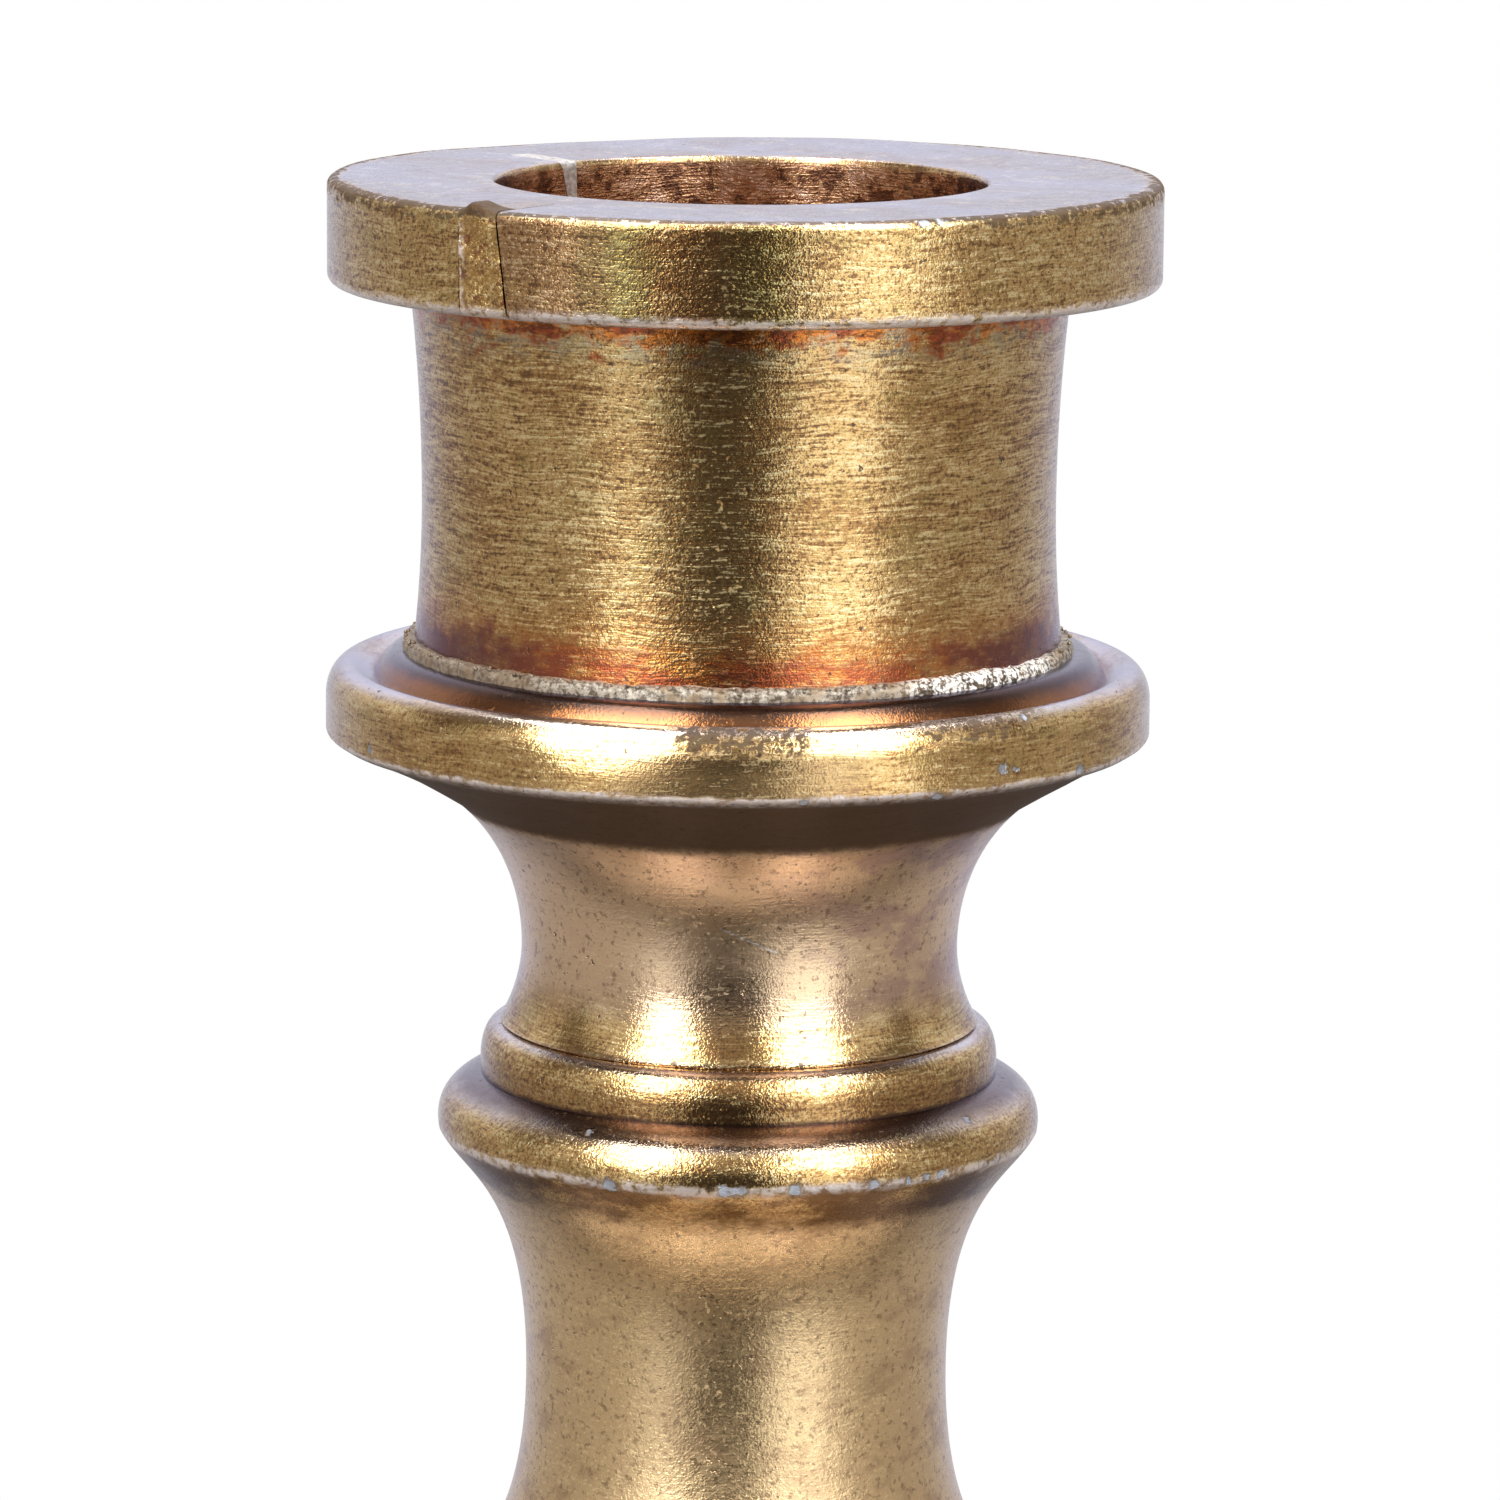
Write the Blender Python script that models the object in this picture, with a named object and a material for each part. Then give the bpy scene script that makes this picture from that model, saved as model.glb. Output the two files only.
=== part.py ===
"""Turned brass candlestick with a push-up candle ejector, made as the separate pieces it is built from.

Every piece is turned about the Z axis, and the stem is hollow for the ejector rod. The origin is at the
middle of the foot, on the table. Sizes are in metres. A depth is measured down from the top of the rim.
"""

import math

import bmesh
import bpy
from mathutils import Matrix, Vector

MM = 0.001
HEIGHT = 180.0 * MM
GAP = 0.3 * MM
SEGMENTS = 36
ROD_SEGMENTS = 18
MERGE_DISTANCE = 0.00001
SHARP_ANGLE = math.radians(35)

# Candle socket: a rim ring round a seamed tube, brazed onto the neck.
BORE_RADIUS = 11.0 * MM
RIM_RADIUS = 18.68 * MM
RIM_DEPTH = 4.62 * MM
RIM_CHAMFER = 0.3 * MM
RIM_LOWER_CHAMFER = 0.4 * MM
RIM_SEAT_RADIUS = 14.3 * MM
TUBE_TOP_RADIUS = 14.85 * MM
TUBE_WAIST_RADIUS = 14.26 * MM
TUBE_WAIST_DEPTH = 14.4 * MM
TUBE_FOOT_RADIUS = 14.6 * MM
TUBE_FOOT_DEPTH = 20.7 * MM
TUBE_SPIGOT_RADIUS = 12.9 * MM
TUBE_SPIGOT_LENGTH = 2.0 * MM
BEAD_SIZE = 0.6 * MM

# Seams, as angles turned left from the front.
RIM_SEAM_ANGLE = math.radians(38.9)
RIM_SEAM_HALF_WIDTH = 1.04 * MM
RIM_SEAM_LEAN = 0.65 * MM
TUBE_SEAM_ANGLE = math.radians(134.0)
TUBE_SEAM_HALF_WIDTH = 0.6 * MM

# Neck: the flange under the socket, a scotia, and a tenon that screws into the stem.
SEAT_DEPTH = 21.4 * MM
SEAT_RADIUS = 15.2 * MM
GROOVE_RADIUS = 16.3 * MM
GROOVE_DEPTH = 22.07 * MM
FLANGE_CREST_RADIUS = 17.5 * MM
FLANGE_CREST_DEPTH = 21.77 * MM
FLANGE_RADIUS = 18.6 * MM
FLANGE_ROUND = 0.95 * MM
FLANGE_SIDE_DEPTH = 24.9 * MM
FLANGE_EDGE_RADIUS = 18.15 * MM
FLANGE_EDGE_DEPTH = 25.17 * MM
NECK_SHOULDER_RADIUS = 13.05 * MM
NECK_SHOULDER_DEPTH = 27.85 * MM
NECK_WAIST_RADIUS = 9.9 * MM
NECK_WAIST_DEPTH = 34.8 * MM
NECK_FOOT_RADIUS = 10.9 * MM
NECK_FOOT_DEPTH = 38.2 * MM
SOCKET_FLOOR_DEPTH = 23.4 * MM

# Stem: a reel between two fillet rings, then a baluster.
TENON_RADIUS = 5.0 * MM
TENON_LENGTH = 10.4 * MM
FILLET_RADIUS = 11.7 * MM
FILLET_ROUND = 0.35 * MM
REEL_TOP_DEPTH = 40.65 * MM
KNOP_RADIUS = 13.7 * MM
KNOP_CREST_DEPTH = 42.8 * MM
KNOP_EDGE_DEPTH = 43.2 * MM
REEL_WAIST_RADIUS = 9.64 * MM
REEL_WAIST_DEPTH = 54.6 * MM
BALUSTER_NECK_RADIUS = 8.8 * MM
BALUSTER_RADIUS = 15.2 * MM
BALUSTER_ANKLE_RADIUS = 7.2 * MM
BALUSTER_FOOT_RADIUS = 10.4 * MM
BALUSTER_FOOT_HEIGHT = 56.6 * MM
COLLAR_RADIUS = 14.0 * MM
COLLAR_FOOT_RADIUS = 12.0 * MM
COLLAR_HEIGHT = 3.8 * MM

# Foot: a hollow stepped dome, held to the stem by a washer and a nut.
FOOT_RADIUS = 52.3 * MM
FOOT_EDGE_HEIGHT = 8.6 * MM
FOOT_HOLLOW_RADIUS = 47.0 * MM
CROWN_RADIUS = 11.0 * MM
CROWN_HEIGHT = BALUSTER_FOOT_HEIGHT - COLLAR_HEIGHT - 2 * GAP
RING_RADIUS = 19.5 * MM
RING_ROUND = 1.6 * MM
RING_HEIGHT = 35.9 * MM
DOME_RADIUS = 42.5 * MM
DOME_STEP_HEIGHT = 14.3 * MM
NUT_RECESS_RADIUS = 13.5 * MM
NUT_SEAT_HEIGHT = 36.0 * MM
WASHER_RADIUS = 10.5 * MM
WASHER_THICKNESS = 1.5 * MM
NUT_CORNER_RADIUS = 9.4 * MM
NUT_THICKNESS = 4.0 * MM
STEM_TENON_END = 29.2 * MM

# Ejector: a disc on a rod, pushed up by a button under the foot.
ROD_RADIUS = 2.0 * MM
ROD_HOLE_RADIUS = ROD_RADIUS + 0.4 * MM
DISC_RADIUS = BORE_RADIUS - GAP
DISC_THICKNESS = 1.6 * MM
BUTTON_RADIUS = 8.5 * MM
BUTTON_NECK_RADIUS = 4.2 * MM
BUTTON_BOTTOM = 6.5 * MM
BUTTON_EDGE_HEIGHT = 2.4 * MM
BUTTON_TOTAL_HEIGHT = 5.0 * MM

BRASS = (0.44, 0.29, 0.10)
PALE_BRASS = (0.55, 0.45, 0.26)
SOLDER_GREY = (0.48, 0.46, 0.40)
STEEL = (0.30, 0.29, 0.28)


def at_depth(depth):
    """Height above the table of a point this far below the top of the rim."""
    return HEIGHT - depth


def arc(centre, radius, start, end, steps):
    """Points on a circle in the (r, z) plane, from one angle in degrees to another."""
    points = []
    for i in range(steps + 1):
        angle = math.radians(start + (end - start) * i / steps)
        points.append((centre[0] + radius * math.cos(angle), centre[1] + radius * math.sin(angle)))
    return points


def sweep(start, pull_start, pull_end, end, steps):
    """Points on a cubic curve in the (r, z) plane, bent by its two pull points."""
    points = []
    for i in range(steps + 1):
        t = i / steps
        weights = ((1 - t) ** 3, 3 * (1 - t) ** 2 * t, 3 * (1 - t) * t ** 2, t ** 3)
        knots = (start, pull_start, pull_end, end)
        points.append(tuple(sum(w * k[axis] for w, k in zip(weights, knots)) for axis in (0, 1)))
    return points


def mirrored(outline, height):
    """The same outline upside down about a height, listed the other way round."""
    return [(r, 2 * height - z) for r, z in reversed(outline)]


def metal(name, color, roughness):
    """A Principled metal of one colour."""
    material = bpy.data.materials.new(name)
    material.use_nodes = True
    shader = material.node_tree.nodes["Principled BSDF"]
    shader.inputs["Base Color"].default_value = (*color, 1.0)
    shader.inputs["Roughness"].default_value = roughness
    shader.inputs["Metallic"].default_value = 1.0
    return material


def add_object(name, mesh_builder, material=None):
    """Turns a bmesh into a smooth-shaded object of that name."""
    mesh = bpy.data.meshes.new(name)
    mesh_builder.to_mesh(mesh)
    mesh_builder.free()
    mesh.shade_smooth()
    mesh.set_sharp_from_angle(angle=SHARP_ANGLE)
    obj = bpy.data.objects.new(name, mesh)
    bpy.context.scene.collection.objects.link(obj)
    if material:
        mesh.materials.append(material)
    return obj


def turned(name, outline, material, segments=SEGMENTS):
    """Spins a closed (r, z) outline about the Z axis. Points on the axis close the piece there."""
    bm = bmesh.new()
    verts = [bm.verts.new((r, 0.0, z)) for r, z in outline]
    edges = []
    for a, b in zip(verts, verts[1:] + verts[:1]):
        if a.co.x > MERGE_DISTANCE or b.co.x > MERGE_DISTANCE:
            edges.append(bm.edges.new((a, b)))
    bmesh.ops.spin(bm, geom=verts + edges, cent=(0, 0, 0), axis=(0, 0, 1), dvec=(0, 0, 0),
                   angle=2 * math.pi, steps=segments, use_merge=True, use_duplicate=False)
    bmesh.ops.remove_doubles(bm, verts=bm.verts, dist=MERGE_DISTANCE)
    bmesh.ops.recalc_face_normals(bm, faces=bm.faces)
    return add_object(name, bm, material)


def seam_block(name, angle, half_width, lean, inner, outer, bottom, top):
    """A cutter across a ring wall, its right side leaning outwards towards the bottom."""
    left = Vector((-math.cos(angle), math.sin(angle), 0)) * half_width
    outward = Vector((-math.sin(angle), -math.cos(angle), 0))
    bm = bmesh.new()
    rows = []
    for z, right_shift in ((bottom, lean), (top, 0.0)):
        right = -left.normalized() * (half_width + right_shift)
        corners = (outward * inner + left, outward * outer + left, outward * outer + right, outward * inner + right)
        rows.append([bm.verts.new(corner + Vector((0, 0, z))) for corner in corners])
    bm.faces.new(rows[0])
    bm.faces.new(rows[1])
    for i in range(4):
        j = (i + 1) % 4
        bm.faces.new((rows[0][i], rows[0][j], rows[1][j], rows[1][i]))
    bmesh.ops.recalc_face_normals(bm, faces=bm.faces)
    cutter = add_object(name, bm)
    cutter.hide_render = True
    cutter.display_type = "WIRE"
    return cutter


def combine(target, cutter, operation):
    """Cuts the target with the cutter, or keeps only what they share."""
    modifier = target.modifiers.new(operation.title(), "BOOLEAN")
    modifier.operation = operation
    modifier.solver = "EXACT"
    modifier.object = cutter


def rim_outline():
    top = HEIGHT
    bottom = at_depth(RIM_DEPTH)
    return [
        (RIM_SEAT_RADIUS, bottom),
        (RIM_SEAT_RADIUS, top),
        (RIM_RADIUS - RIM_CHAMFER, top),
        (RIM_RADIUS, top - RIM_CHAMFER),
        (RIM_RADIUS, bottom + RIM_LOWER_CHAMFER),
        (RIM_RADIUS - RIM_LOWER_CHAMFER, bottom),
    ]


def make_rim():
    """The ring round the socket's mouth, open at its seam, and the braze that fills the seam."""
    rim = turned("drip_rim", rim_outline(), metal("drip_rim_brass", BRASS, 0.35))
    braze = turned("rim_seam_braze", rim_outline(), metal("rim_seam_braze_metal", PALE_BRASS, 0.45))
    reach = (RIM_SEAT_RADIUS - 1 * MM, RIM_RADIUS + 1 * MM, at_depth(RIM_DEPTH + 1 * MM), HEIGHT + 1 * MM)
    lean = RIM_SEAM_LEAN
    opening = seam_block("rim_seam_cutter", RIM_SEAM_ANGLE, RIM_SEAM_HALF_WIDTH, lean, *reach)
    filling = seam_block("rim_seam_guide", RIM_SEAM_ANGLE, RIM_SEAM_HALF_WIDTH - GAP, lean, *reach)
    combine(rim, opening, "DIFFERENCE")
    combine(braze, filling, "INTERSECT")


def tube_wall(steps):
    """The tube's outside, slightly waisted, from under the rim down to its foot."""
    top_depth = RIM_DEPTH + GAP
    points = []
    for i in range(steps + 1):
        depth = top_depth + (TUBE_FOOT_DEPTH - top_depth) * i / steps
        if depth < TUBE_WAIST_DEPTH:
            share = (TUBE_WAIST_DEPTH - depth) / (TUBE_WAIST_DEPTH - top_depth)
            radius = TUBE_WAIST_RADIUS + (TUBE_TOP_RADIUS - TUBE_WAIST_RADIUS) * share ** 2
        else:
            share = (depth - TUBE_WAIST_DEPTH) / (TUBE_FOOT_DEPTH - TUBE_WAIST_DEPTH)
            radius = TUBE_WAIST_RADIUS + (TUBE_FOOT_RADIUS - TUBE_WAIST_RADIUS) * share ** 2
        points.append((radius, at_depth(depth)))
    return points


def tube_outline():
    shoulder = at_depth(SEAT_DEPTH) + GAP
    end = shoulder - TUBE_SPIGOT_LENGTH
    inside_rim = RIM_SEAT_RADIUS - GAP
    return [
        (BORE_RADIUS, end),
        (BORE_RADIUS, HEIGHT),
        (inside_rim, HEIGHT),
        (inside_rim, at_depth(RIM_DEPTH + GAP)),
        *tube_wall(8),
        (TUBE_FOOT_RADIUS, shoulder),
        (TUBE_SPIGOT_RADIUS, shoulder),
        (TUBE_SPIGOT_RADIUS, end),
    ]


def make_tube():
    """The socket's tube, rolled from thick sheet, and the solder in its seam."""
    tube = turned("socket_tube", tube_outline(), metal("socket_tube_brass", BRASS, 0.38))
    solder = turned("tube_seam_solder", tube_outline(), metal("tube_seam_solder_metal", SOLDER_GREY, 0.4))
    reach = (BORE_RADIUS - 1 * MM, TUBE_TOP_RADIUS + 1 * MM, at_depth(SEAT_DEPTH + 4 * MM), HEIGHT + 1 * MM)
    slit = seam_block("tube_seam_cutter", TUBE_SEAM_ANGLE, TUBE_SEAM_HALF_WIDTH, 0.0, *reach)
    strip = seam_block("tube_seam_guide", TUBE_SEAM_ANGLE, TUBE_SEAM_HALF_WIDTH - GAP, 0.0, *reach)
    combine(tube, slit, "DIFFERENCE")
    combine(solder, strip, "INTERSECT")


def make_braze_bead():
    """The fillet of braze in the corner between the tube's foot and its seat."""
    inner = TUBE_FOOT_RADIUS + GAP
    bottom = at_depth(SEAT_DEPTH) + GAP
    outline = [(inner, bottom), *arc((inner, bottom), BEAD_SIZE, 0, 90, 3)]
    turned("socket_braze_bead", outline, metal("braze_bead_metal", PALE_BRASS, 0.5))


def make_neck():
    """The flange under the socket and the scotia below it, one casting with a screwed tenon."""
    outline = [
        (ROD_HOLE_RADIUS, at_depth(SOCKET_FLOOR_DEPTH)),
        (TUBE_SPIGOT_RADIUS + GAP, at_depth(SOCKET_FLOOR_DEPTH)),
        (TUBE_SPIGOT_RADIUS + GAP, at_depth(SEAT_DEPTH)),
        (SEAT_RADIUS, at_depth(SEAT_DEPTH)),
        (GROOVE_RADIUS, at_depth(GROOVE_DEPTH)),
        (FLANGE_CREST_RADIUS, at_depth(FLANGE_CREST_DEPTH)),
        *arc((FLANGE_RADIUS - FLANGE_ROUND, at_depth(FLANGE_CREST_DEPTH + FLANGE_ROUND)), FLANGE_ROUND, 75, 0, 3),
        (FLANGE_RADIUS, at_depth(FLANGE_SIDE_DEPTH)),
        *sweep((FLANGE_EDGE_RADIUS, at_depth(FLANGE_EDGE_DEPTH)),
               (FLANGE_EDGE_RADIUS - 0.3 * MM, at_depth(FLANGE_EDGE_DEPTH + 0.6 * MM)),
               (NECK_SHOULDER_RADIUS + 2.6 * MM, at_depth(NECK_SHOULDER_DEPTH - 1.6 * MM)),
               (NECK_SHOULDER_RADIUS, at_depth(NECK_SHOULDER_DEPTH)), 4),
        *sweep((NECK_SHOULDER_RADIUS, at_depth(NECK_SHOULDER_DEPTH)),
               (NECK_SHOULDER_RADIUS - 2.6 * MM, at_depth(NECK_SHOULDER_DEPTH + 2.2 * MM)),
               (NECK_WAIST_RADIUS, at_depth(NECK_WAIST_DEPTH - 1.8 * MM)),
               (NECK_WAIST_RADIUS, at_depth(NECK_WAIST_DEPTH)), 6)[1:],
        *sweep((NECK_WAIST_RADIUS, at_depth(NECK_WAIST_DEPTH)),
               (NECK_WAIST_RADIUS, at_depth(NECK_WAIST_DEPTH + 1.5 * MM)),
               (NECK_FOOT_RADIUS - 0.3 * MM, at_depth(NECK_FOOT_DEPTH - 0.3 * MM)),
               (NECK_FOOT_RADIUS, at_depth(NECK_FOOT_DEPTH)), 4)[1:],
        (TENON_RADIUS, at_depth(NECK_FOOT_DEPTH)),
        (TENON_RADIUS, at_depth(NECK_FOOT_DEPTH) - TENON_LENGTH),
        (ROD_HOLE_RADIUS, at_depth(NECK_FOOT_DEPTH) - TENON_LENGTH),
    ]
    turned("neck_casting", outline, metal("neck_brass", BRASS, 0.36))


def fillet_outline():
    """The thin ring between the neck and the reel."""
    bottom = at_depth(REEL_TOP_DEPTH) + GAP
    top = at_depth(NECK_FOOT_DEPTH) - GAP
    return [
        (TENON_RADIUS + GAP, bottom),
        (TENON_RADIUS + GAP, top),
        *arc((FILLET_RADIUS - FILLET_ROUND, top - FILLET_ROUND), FILLET_ROUND, 90, 0, 2),
        (FILLET_RADIUS, bottom),
    ]


def reel_half():
    """The reel's outside from its top face, over the knop and down to its waist."""
    top = at_depth(REEL_TOP_DEPTH)
    edge = (KNOP_RADIUS - 0.04 * MM, at_depth(KNOP_EDGE_DEPTH))
    crest = (KNOP_RADIUS, at_depth(KNOP_CREST_DEPTH))
    knop = sweep((FILLET_RADIUS, top), (FILLET_RADIUS + 0.3 * MM, top - 0.1 * MM),
                 (KNOP_RADIUS, crest[1] + 1.7 * MM), crest, 5)
    cove = sweep(edge, (edge[0] - 0.9 * MM, edge[1] - 1.8 * MM),
                 (REEL_WAIST_RADIUS, at_depth(REEL_WAIST_DEPTH) + 8.5 * MM),
                 (REEL_WAIST_RADIUS, at_depth(REEL_WAIST_DEPTH)), 8)
    return knop + cove


def make_stem():
    """The reel between its two fillet rings, and the baluster below them."""
    waist = at_depth(REEL_WAIST_DEPTH)
    half = reel_half()
    socket = TENON_RADIUS + GAP
    top = at_depth(REEL_TOP_DEPTH)
    bottom = 2 * waist - top
    socket_floor = at_depth(NECK_FOOT_DEPTH) - TENON_LENGTH - GAP
    tenon_end = bottom - (top - socket_floor)
    reel = [
        (ROD_HOLE_RADIUS, socket_floor),
        (socket, socket_floor),
        (socket, top),
        *half[:-1],
        *mirrored(half, waist),
        (TENON_RADIUS, bottom),
        (TENON_RADIUS, tenon_end),
        (ROD_HOLE_RADIUS, tenon_end),
    ]
    turned("stem_reel", reel, metal("reel_brass", BRASS, 0.36))
    turned("upper_fillet_ring", fillet_outline(), metal("upper_ring_brass", BRASS, 0.36))
    turned("lower_fillet_ring", mirrored(fillet_outline(), waist), metal("lower_ring_brass", BRASS, 0.36))
    make_baluster(2 * waist - at_depth(NECK_FOOT_DEPTH), tenon_end - GAP)


def make_baluster(top, socket_floor):
    """A vase-shaped stem whose long tenon runs down through the foot."""
    socket = TENON_RADIUS + GAP
    foot = BALUSTER_FOOT_HEIGHT
    neck = (BALUSTER_NECK_RADIUS, top - 4.4 * MM)
    belly = (BALUSTER_RADIUS, top - 14.5 * MM)
    ankle = (BALUSTER_ANKLE_RADIUS, foot + 11.4 * MM)
    outline = [
        (ROD_HOLE_RADIUS, socket_floor),
        (socket, socket_floor),
        (socket, top),
        *sweep((NECK_FOOT_RADIUS, top), (NECK_FOOT_RADIUS - 1.2 * MM, top - 1.4 * MM),
               (neck[0], neck[1] + 1.9 * MM), neck, 3),
        *sweep(neck, (neck[0], neck[1] - 3.0 * MM), (belly[0] - 0.5 * MM, neck[1] - 3.0 * MM), belly, 6)[1:],
        *sweep(belly, (belly[0] + 0.6 * MM, belly[1] - 7.5 * MM),
               (ankle[0] + 1.3 * MM, ankle[1] + 10.0 * MM), ankle, 7)[1:],
        *sweep(ankle, (ankle[0] - 0.3 * MM, ankle[1] - 5.0 * MM),
               (ankle[0] + 0.4 * MM, foot + 2.4 * MM), (BALUSTER_FOOT_RADIUS, foot + 1.0 * MM), 4)[1:],
        (BALUSTER_FOOT_RADIUS, foot),
        (TENON_RADIUS, foot),
        (TENON_RADIUS, STEM_TENON_END),
        (ROD_HOLE_RADIUS, STEM_TENON_END),
    ]
    turned("stem_baluster", outline, metal("baluster_brass", BRASS, 0.36))


def make_collar():
    """The loose collar between the baluster and the foot."""
    bottom = CROWN_HEIGHT + GAP
    top = bottom + COLLAR_HEIGHT
    outline = [
        (TENON_RADIUS + GAP, bottom),
        (TENON_RADIUS + GAP, top),
        *sweep((BALUSTER_FOOT_RADIUS + 0.4 * MM, top), (COLLAR_RADIUS - 0.6 * MM, top - 0.2 * MM),
               (COLLAR_RADIUS, top - 1.0 * MM), (COLLAR_RADIUS, top - 2.2 * MM), 4),
        (COLLAR_FOOT_RADIUS, bottom),
    ]
    turned("base_collar", outline, metal("collar_brass", BRASS, 0.36))


def foot_outside():
    """The foot's outside: crown, scotia, ring, dome, cove and edge, from the top down."""
    ring_top = (RING_RADIUS, RING_HEIGHT + RING_ROUND)
    dome_top = (RING_RADIUS + 0.3 * MM, RING_HEIGHT - RING_ROUND - 0.3 * MM)
    edge_round = 1.8 * MM
    edge_centre = (FOOT_RADIUS - edge_round, FOOT_EDGE_HEIGHT - edge_round)
    return [
        (CROWN_RADIUS, CROWN_HEIGHT),
        *sweep((CROWN_RADIUS, CROWN_HEIGHT - 0.6 * MM), (CROWN_RADIUS - 0.8 * MM, CROWN_HEIGHT - 6.0 * MM),
               (CROWN_RADIUS + 1.5 * MM, ring_top[1] + 2.8 * MM),
               (RING_RADIUS - 0.8 * MM, ring_top[1] + 0.3 * MM), 5),
        *arc((RING_RADIUS, RING_HEIGHT), RING_ROUND, 90, -90, 4),
        *sweep(dome_top, (dome_top[0] + 10.0 * MM, dome_top[1] - 0.8 * MM),
               (DOME_RADIUS - 2.4 * MM, DOME_STEP_HEIGHT + 12.5 * MM), (DOME_RADIUS, DOME_STEP_HEIGHT), 7),
        *sweep((DOME_RADIUS + 1.0 * MM, DOME_STEP_HEIGHT - 0.2 * MM),
               (DOME_RADIUS + 1.2 * MM, DOME_STEP_HEIGHT - 3.6 * MM),
               (DOME_RADIUS + 4.0 * MM, FOOT_EDGE_HEIGHT + 0.4 * MM),
               (edge_centre[0] - 0.6 * MM, FOOT_EDGE_HEIGHT), 4),
        *arc(edge_centre, edge_round, 90, 0, 3),
        (FOOT_RADIUS, 0.9 * MM),
        (FOOT_RADIUS - 0.8 * MM, 0.0),
    ]


def foot_inside():
    """The hollow under the foot, from its rim up to the seat of the washer."""
    dome_wall = 3.4 * MM
    dome_foot = (DOME_RADIUS - dome_wall, DOME_STEP_HEIGHT - 0.3 * MM)
    ceiling = RING_HEIGHT - 5.4 * MM
    return [
        (FOOT_HOLLOW_RADIUS, 0.0),
        *sweep((FOOT_HOLLOW_RADIUS - 0.6 * MM, 4.6 * MM), (FOOT_HOLLOW_RADIUS - 3.0 * MM, 6.0 * MM),
               (dome_foot[0] + 1.2 * MM, 9.5 * MM), dome_foot, 3),
        *sweep(dome_foot, (dome_foot[0] - 2.4 * MM, dome_foot[1] + 10.5 * MM),
               (27.0 * MM, ceiling - 0.2 * MM), (NUT_RECESS_RADIUS + 2.5 * MM, ceiling), 5)[1:],
        (NUT_RECESS_RADIUS, ceiling + 0.6 * MM),
        (NUT_RECESS_RADIUS, NUT_SEAT_HEIGHT),
    ]


def make_foot():
    """The hollow cast foot."""
    hole = TENON_RADIUS + GAP
    outline = [(hole, NUT_SEAT_HEIGHT), (hole, CROWN_HEIGHT), *foot_outside(), *foot_inside()]
    turned("base_foot", outline, metal("foot_brass", BRASS, 0.38))


def make_foot_fixing():
    """The washer and the six-sided nut that hold the foot up against the stem."""
    hole = TENON_RADIUS + GAP
    washer_top = NUT_SEAT_HEIGHT - GAP
    washer_bottom = washer_top - WASHER_THICKNESS
    ring = [(hole, washer_bottom), (hole, washer_top), (WASHER_RADIUS, washer_top), (WASHER_RADIUS, washer_bottom)]
    turned("base_washer", ring, metal("washer_steel", STEEL, 0.5))
    nut_top = washer_bottom - GAP
    bm = bmesh.new()
    bmesh.ops.create_cone(bm, cap_ends=True, segments=6, radius1=NUT_CORNER_RADIUS, radius2=NUT_CORNER_RADIUS,
                          depth=NUT_THICKNESS, matrix=Matrix.Translation((0, 0, nut_top - NUT_THICKNESS / 2)))
    nut = add_object("base_nut", bm, metal("nut_steel", STEEL, 0.45))
    drill = turned("base_nut_drill", [(0, nut_top - 2 * NUT_THICKNESS), (hole, nut_top - 2 * NUT_THICKNESS),
                                      (hole, nut_top + NUT_THICKNESS), (0, nut_top + NUT_THICKNESS)], None)
    drill.hide_render = True
    drill.display_type = "WIRE"
    combine(nut, drill, "DIFFERENCE")


def make_ejector():
    """The disc that lifts the candle end, its rod and its button, all moving on the Z axis."""
    rod_hole = ROD_RADIUS + GAP
    disc_bottom = at_depth(SOCKET_FLOOR_DEPTH) + GAP
    disc_top = disc_bottom + DISC_THICKNESS
    disc = [(rod_hole, disc_bottom), (rod_hole, disc_top), (DISC_RADIUS, disc_top), (DISC_RADIUS, disc_bottom)]
    turned("ejector_disc", disc, metal("ejector_disc_brass", BRASS, 0.4))
    rod_bottom = BUTTON_BOTTOM + BUTTON_EDGE_HEIGHT
    rod = [(0, rod_bottom), (ROD_RADIUS, rod_bottom), (ROD_RADIUS, disc_top), (0, disc_top)]
    turned("ejector_rod", rod, metal("rod_steel", STEEL, 0.4), ROD_SEGMENTS)
    button_top = BUTTON_BOTTOM + BUTTON_TOTAL_HEIGHT
    edge = BUTTON_BOTTOM + BUTTON_EDGE_HEIGHT
    button = [
        (0, BUTTON_BOTTOM),
        (BUTTON_RADIUS - 1.4 * MM, BUTTON_BOTTOM),
        *arc((BUTTON_RADIUS - 0.8 * MM, BUTTON_BOTTOM + 1.3 * MM), 0.8 * MM, -60, 60, 3),
        (BUTTON_NECK_RADIUS, edge + 0.6 * MM),
        (BUTTON_NECK_RADIUS, button_top),
        (rod_hole, button_top),
        (rod_hole, rod_bottom - GAP),
        (0, rod_bottom - GAP),
    ]
    turned("ejector_button", button, metal("button_brass", BRASS, 0.4))


def main():
    for obj in list(bpy.data.objects):
        bpy.data.objects.remove(obj)
    make_rim()
    make_tube()
    make_braze_bead()
    make_neck()
    make_stem()
    make_collar()
    make_foot()
    make_foot_fixing()
    make_ejector()


main()
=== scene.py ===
"""Aged brass candlestick with a push-up ejector, finished piece by piece round its CAD frame.

Every piece is turned about the Z axis. Outlines are lists of (radius, height) in metres, and an angle round
the axis is counted from the front (-Y) towards the right (+X). Each operator makes one piece or one group.
"""

import math

import bmesh
import bpy
import numpy as np
from bpy.props import FloatProperty, FloatVectorProperty, IntProperty, PointerProperty
from mathutils import Matrix, Vector, noise


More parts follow.
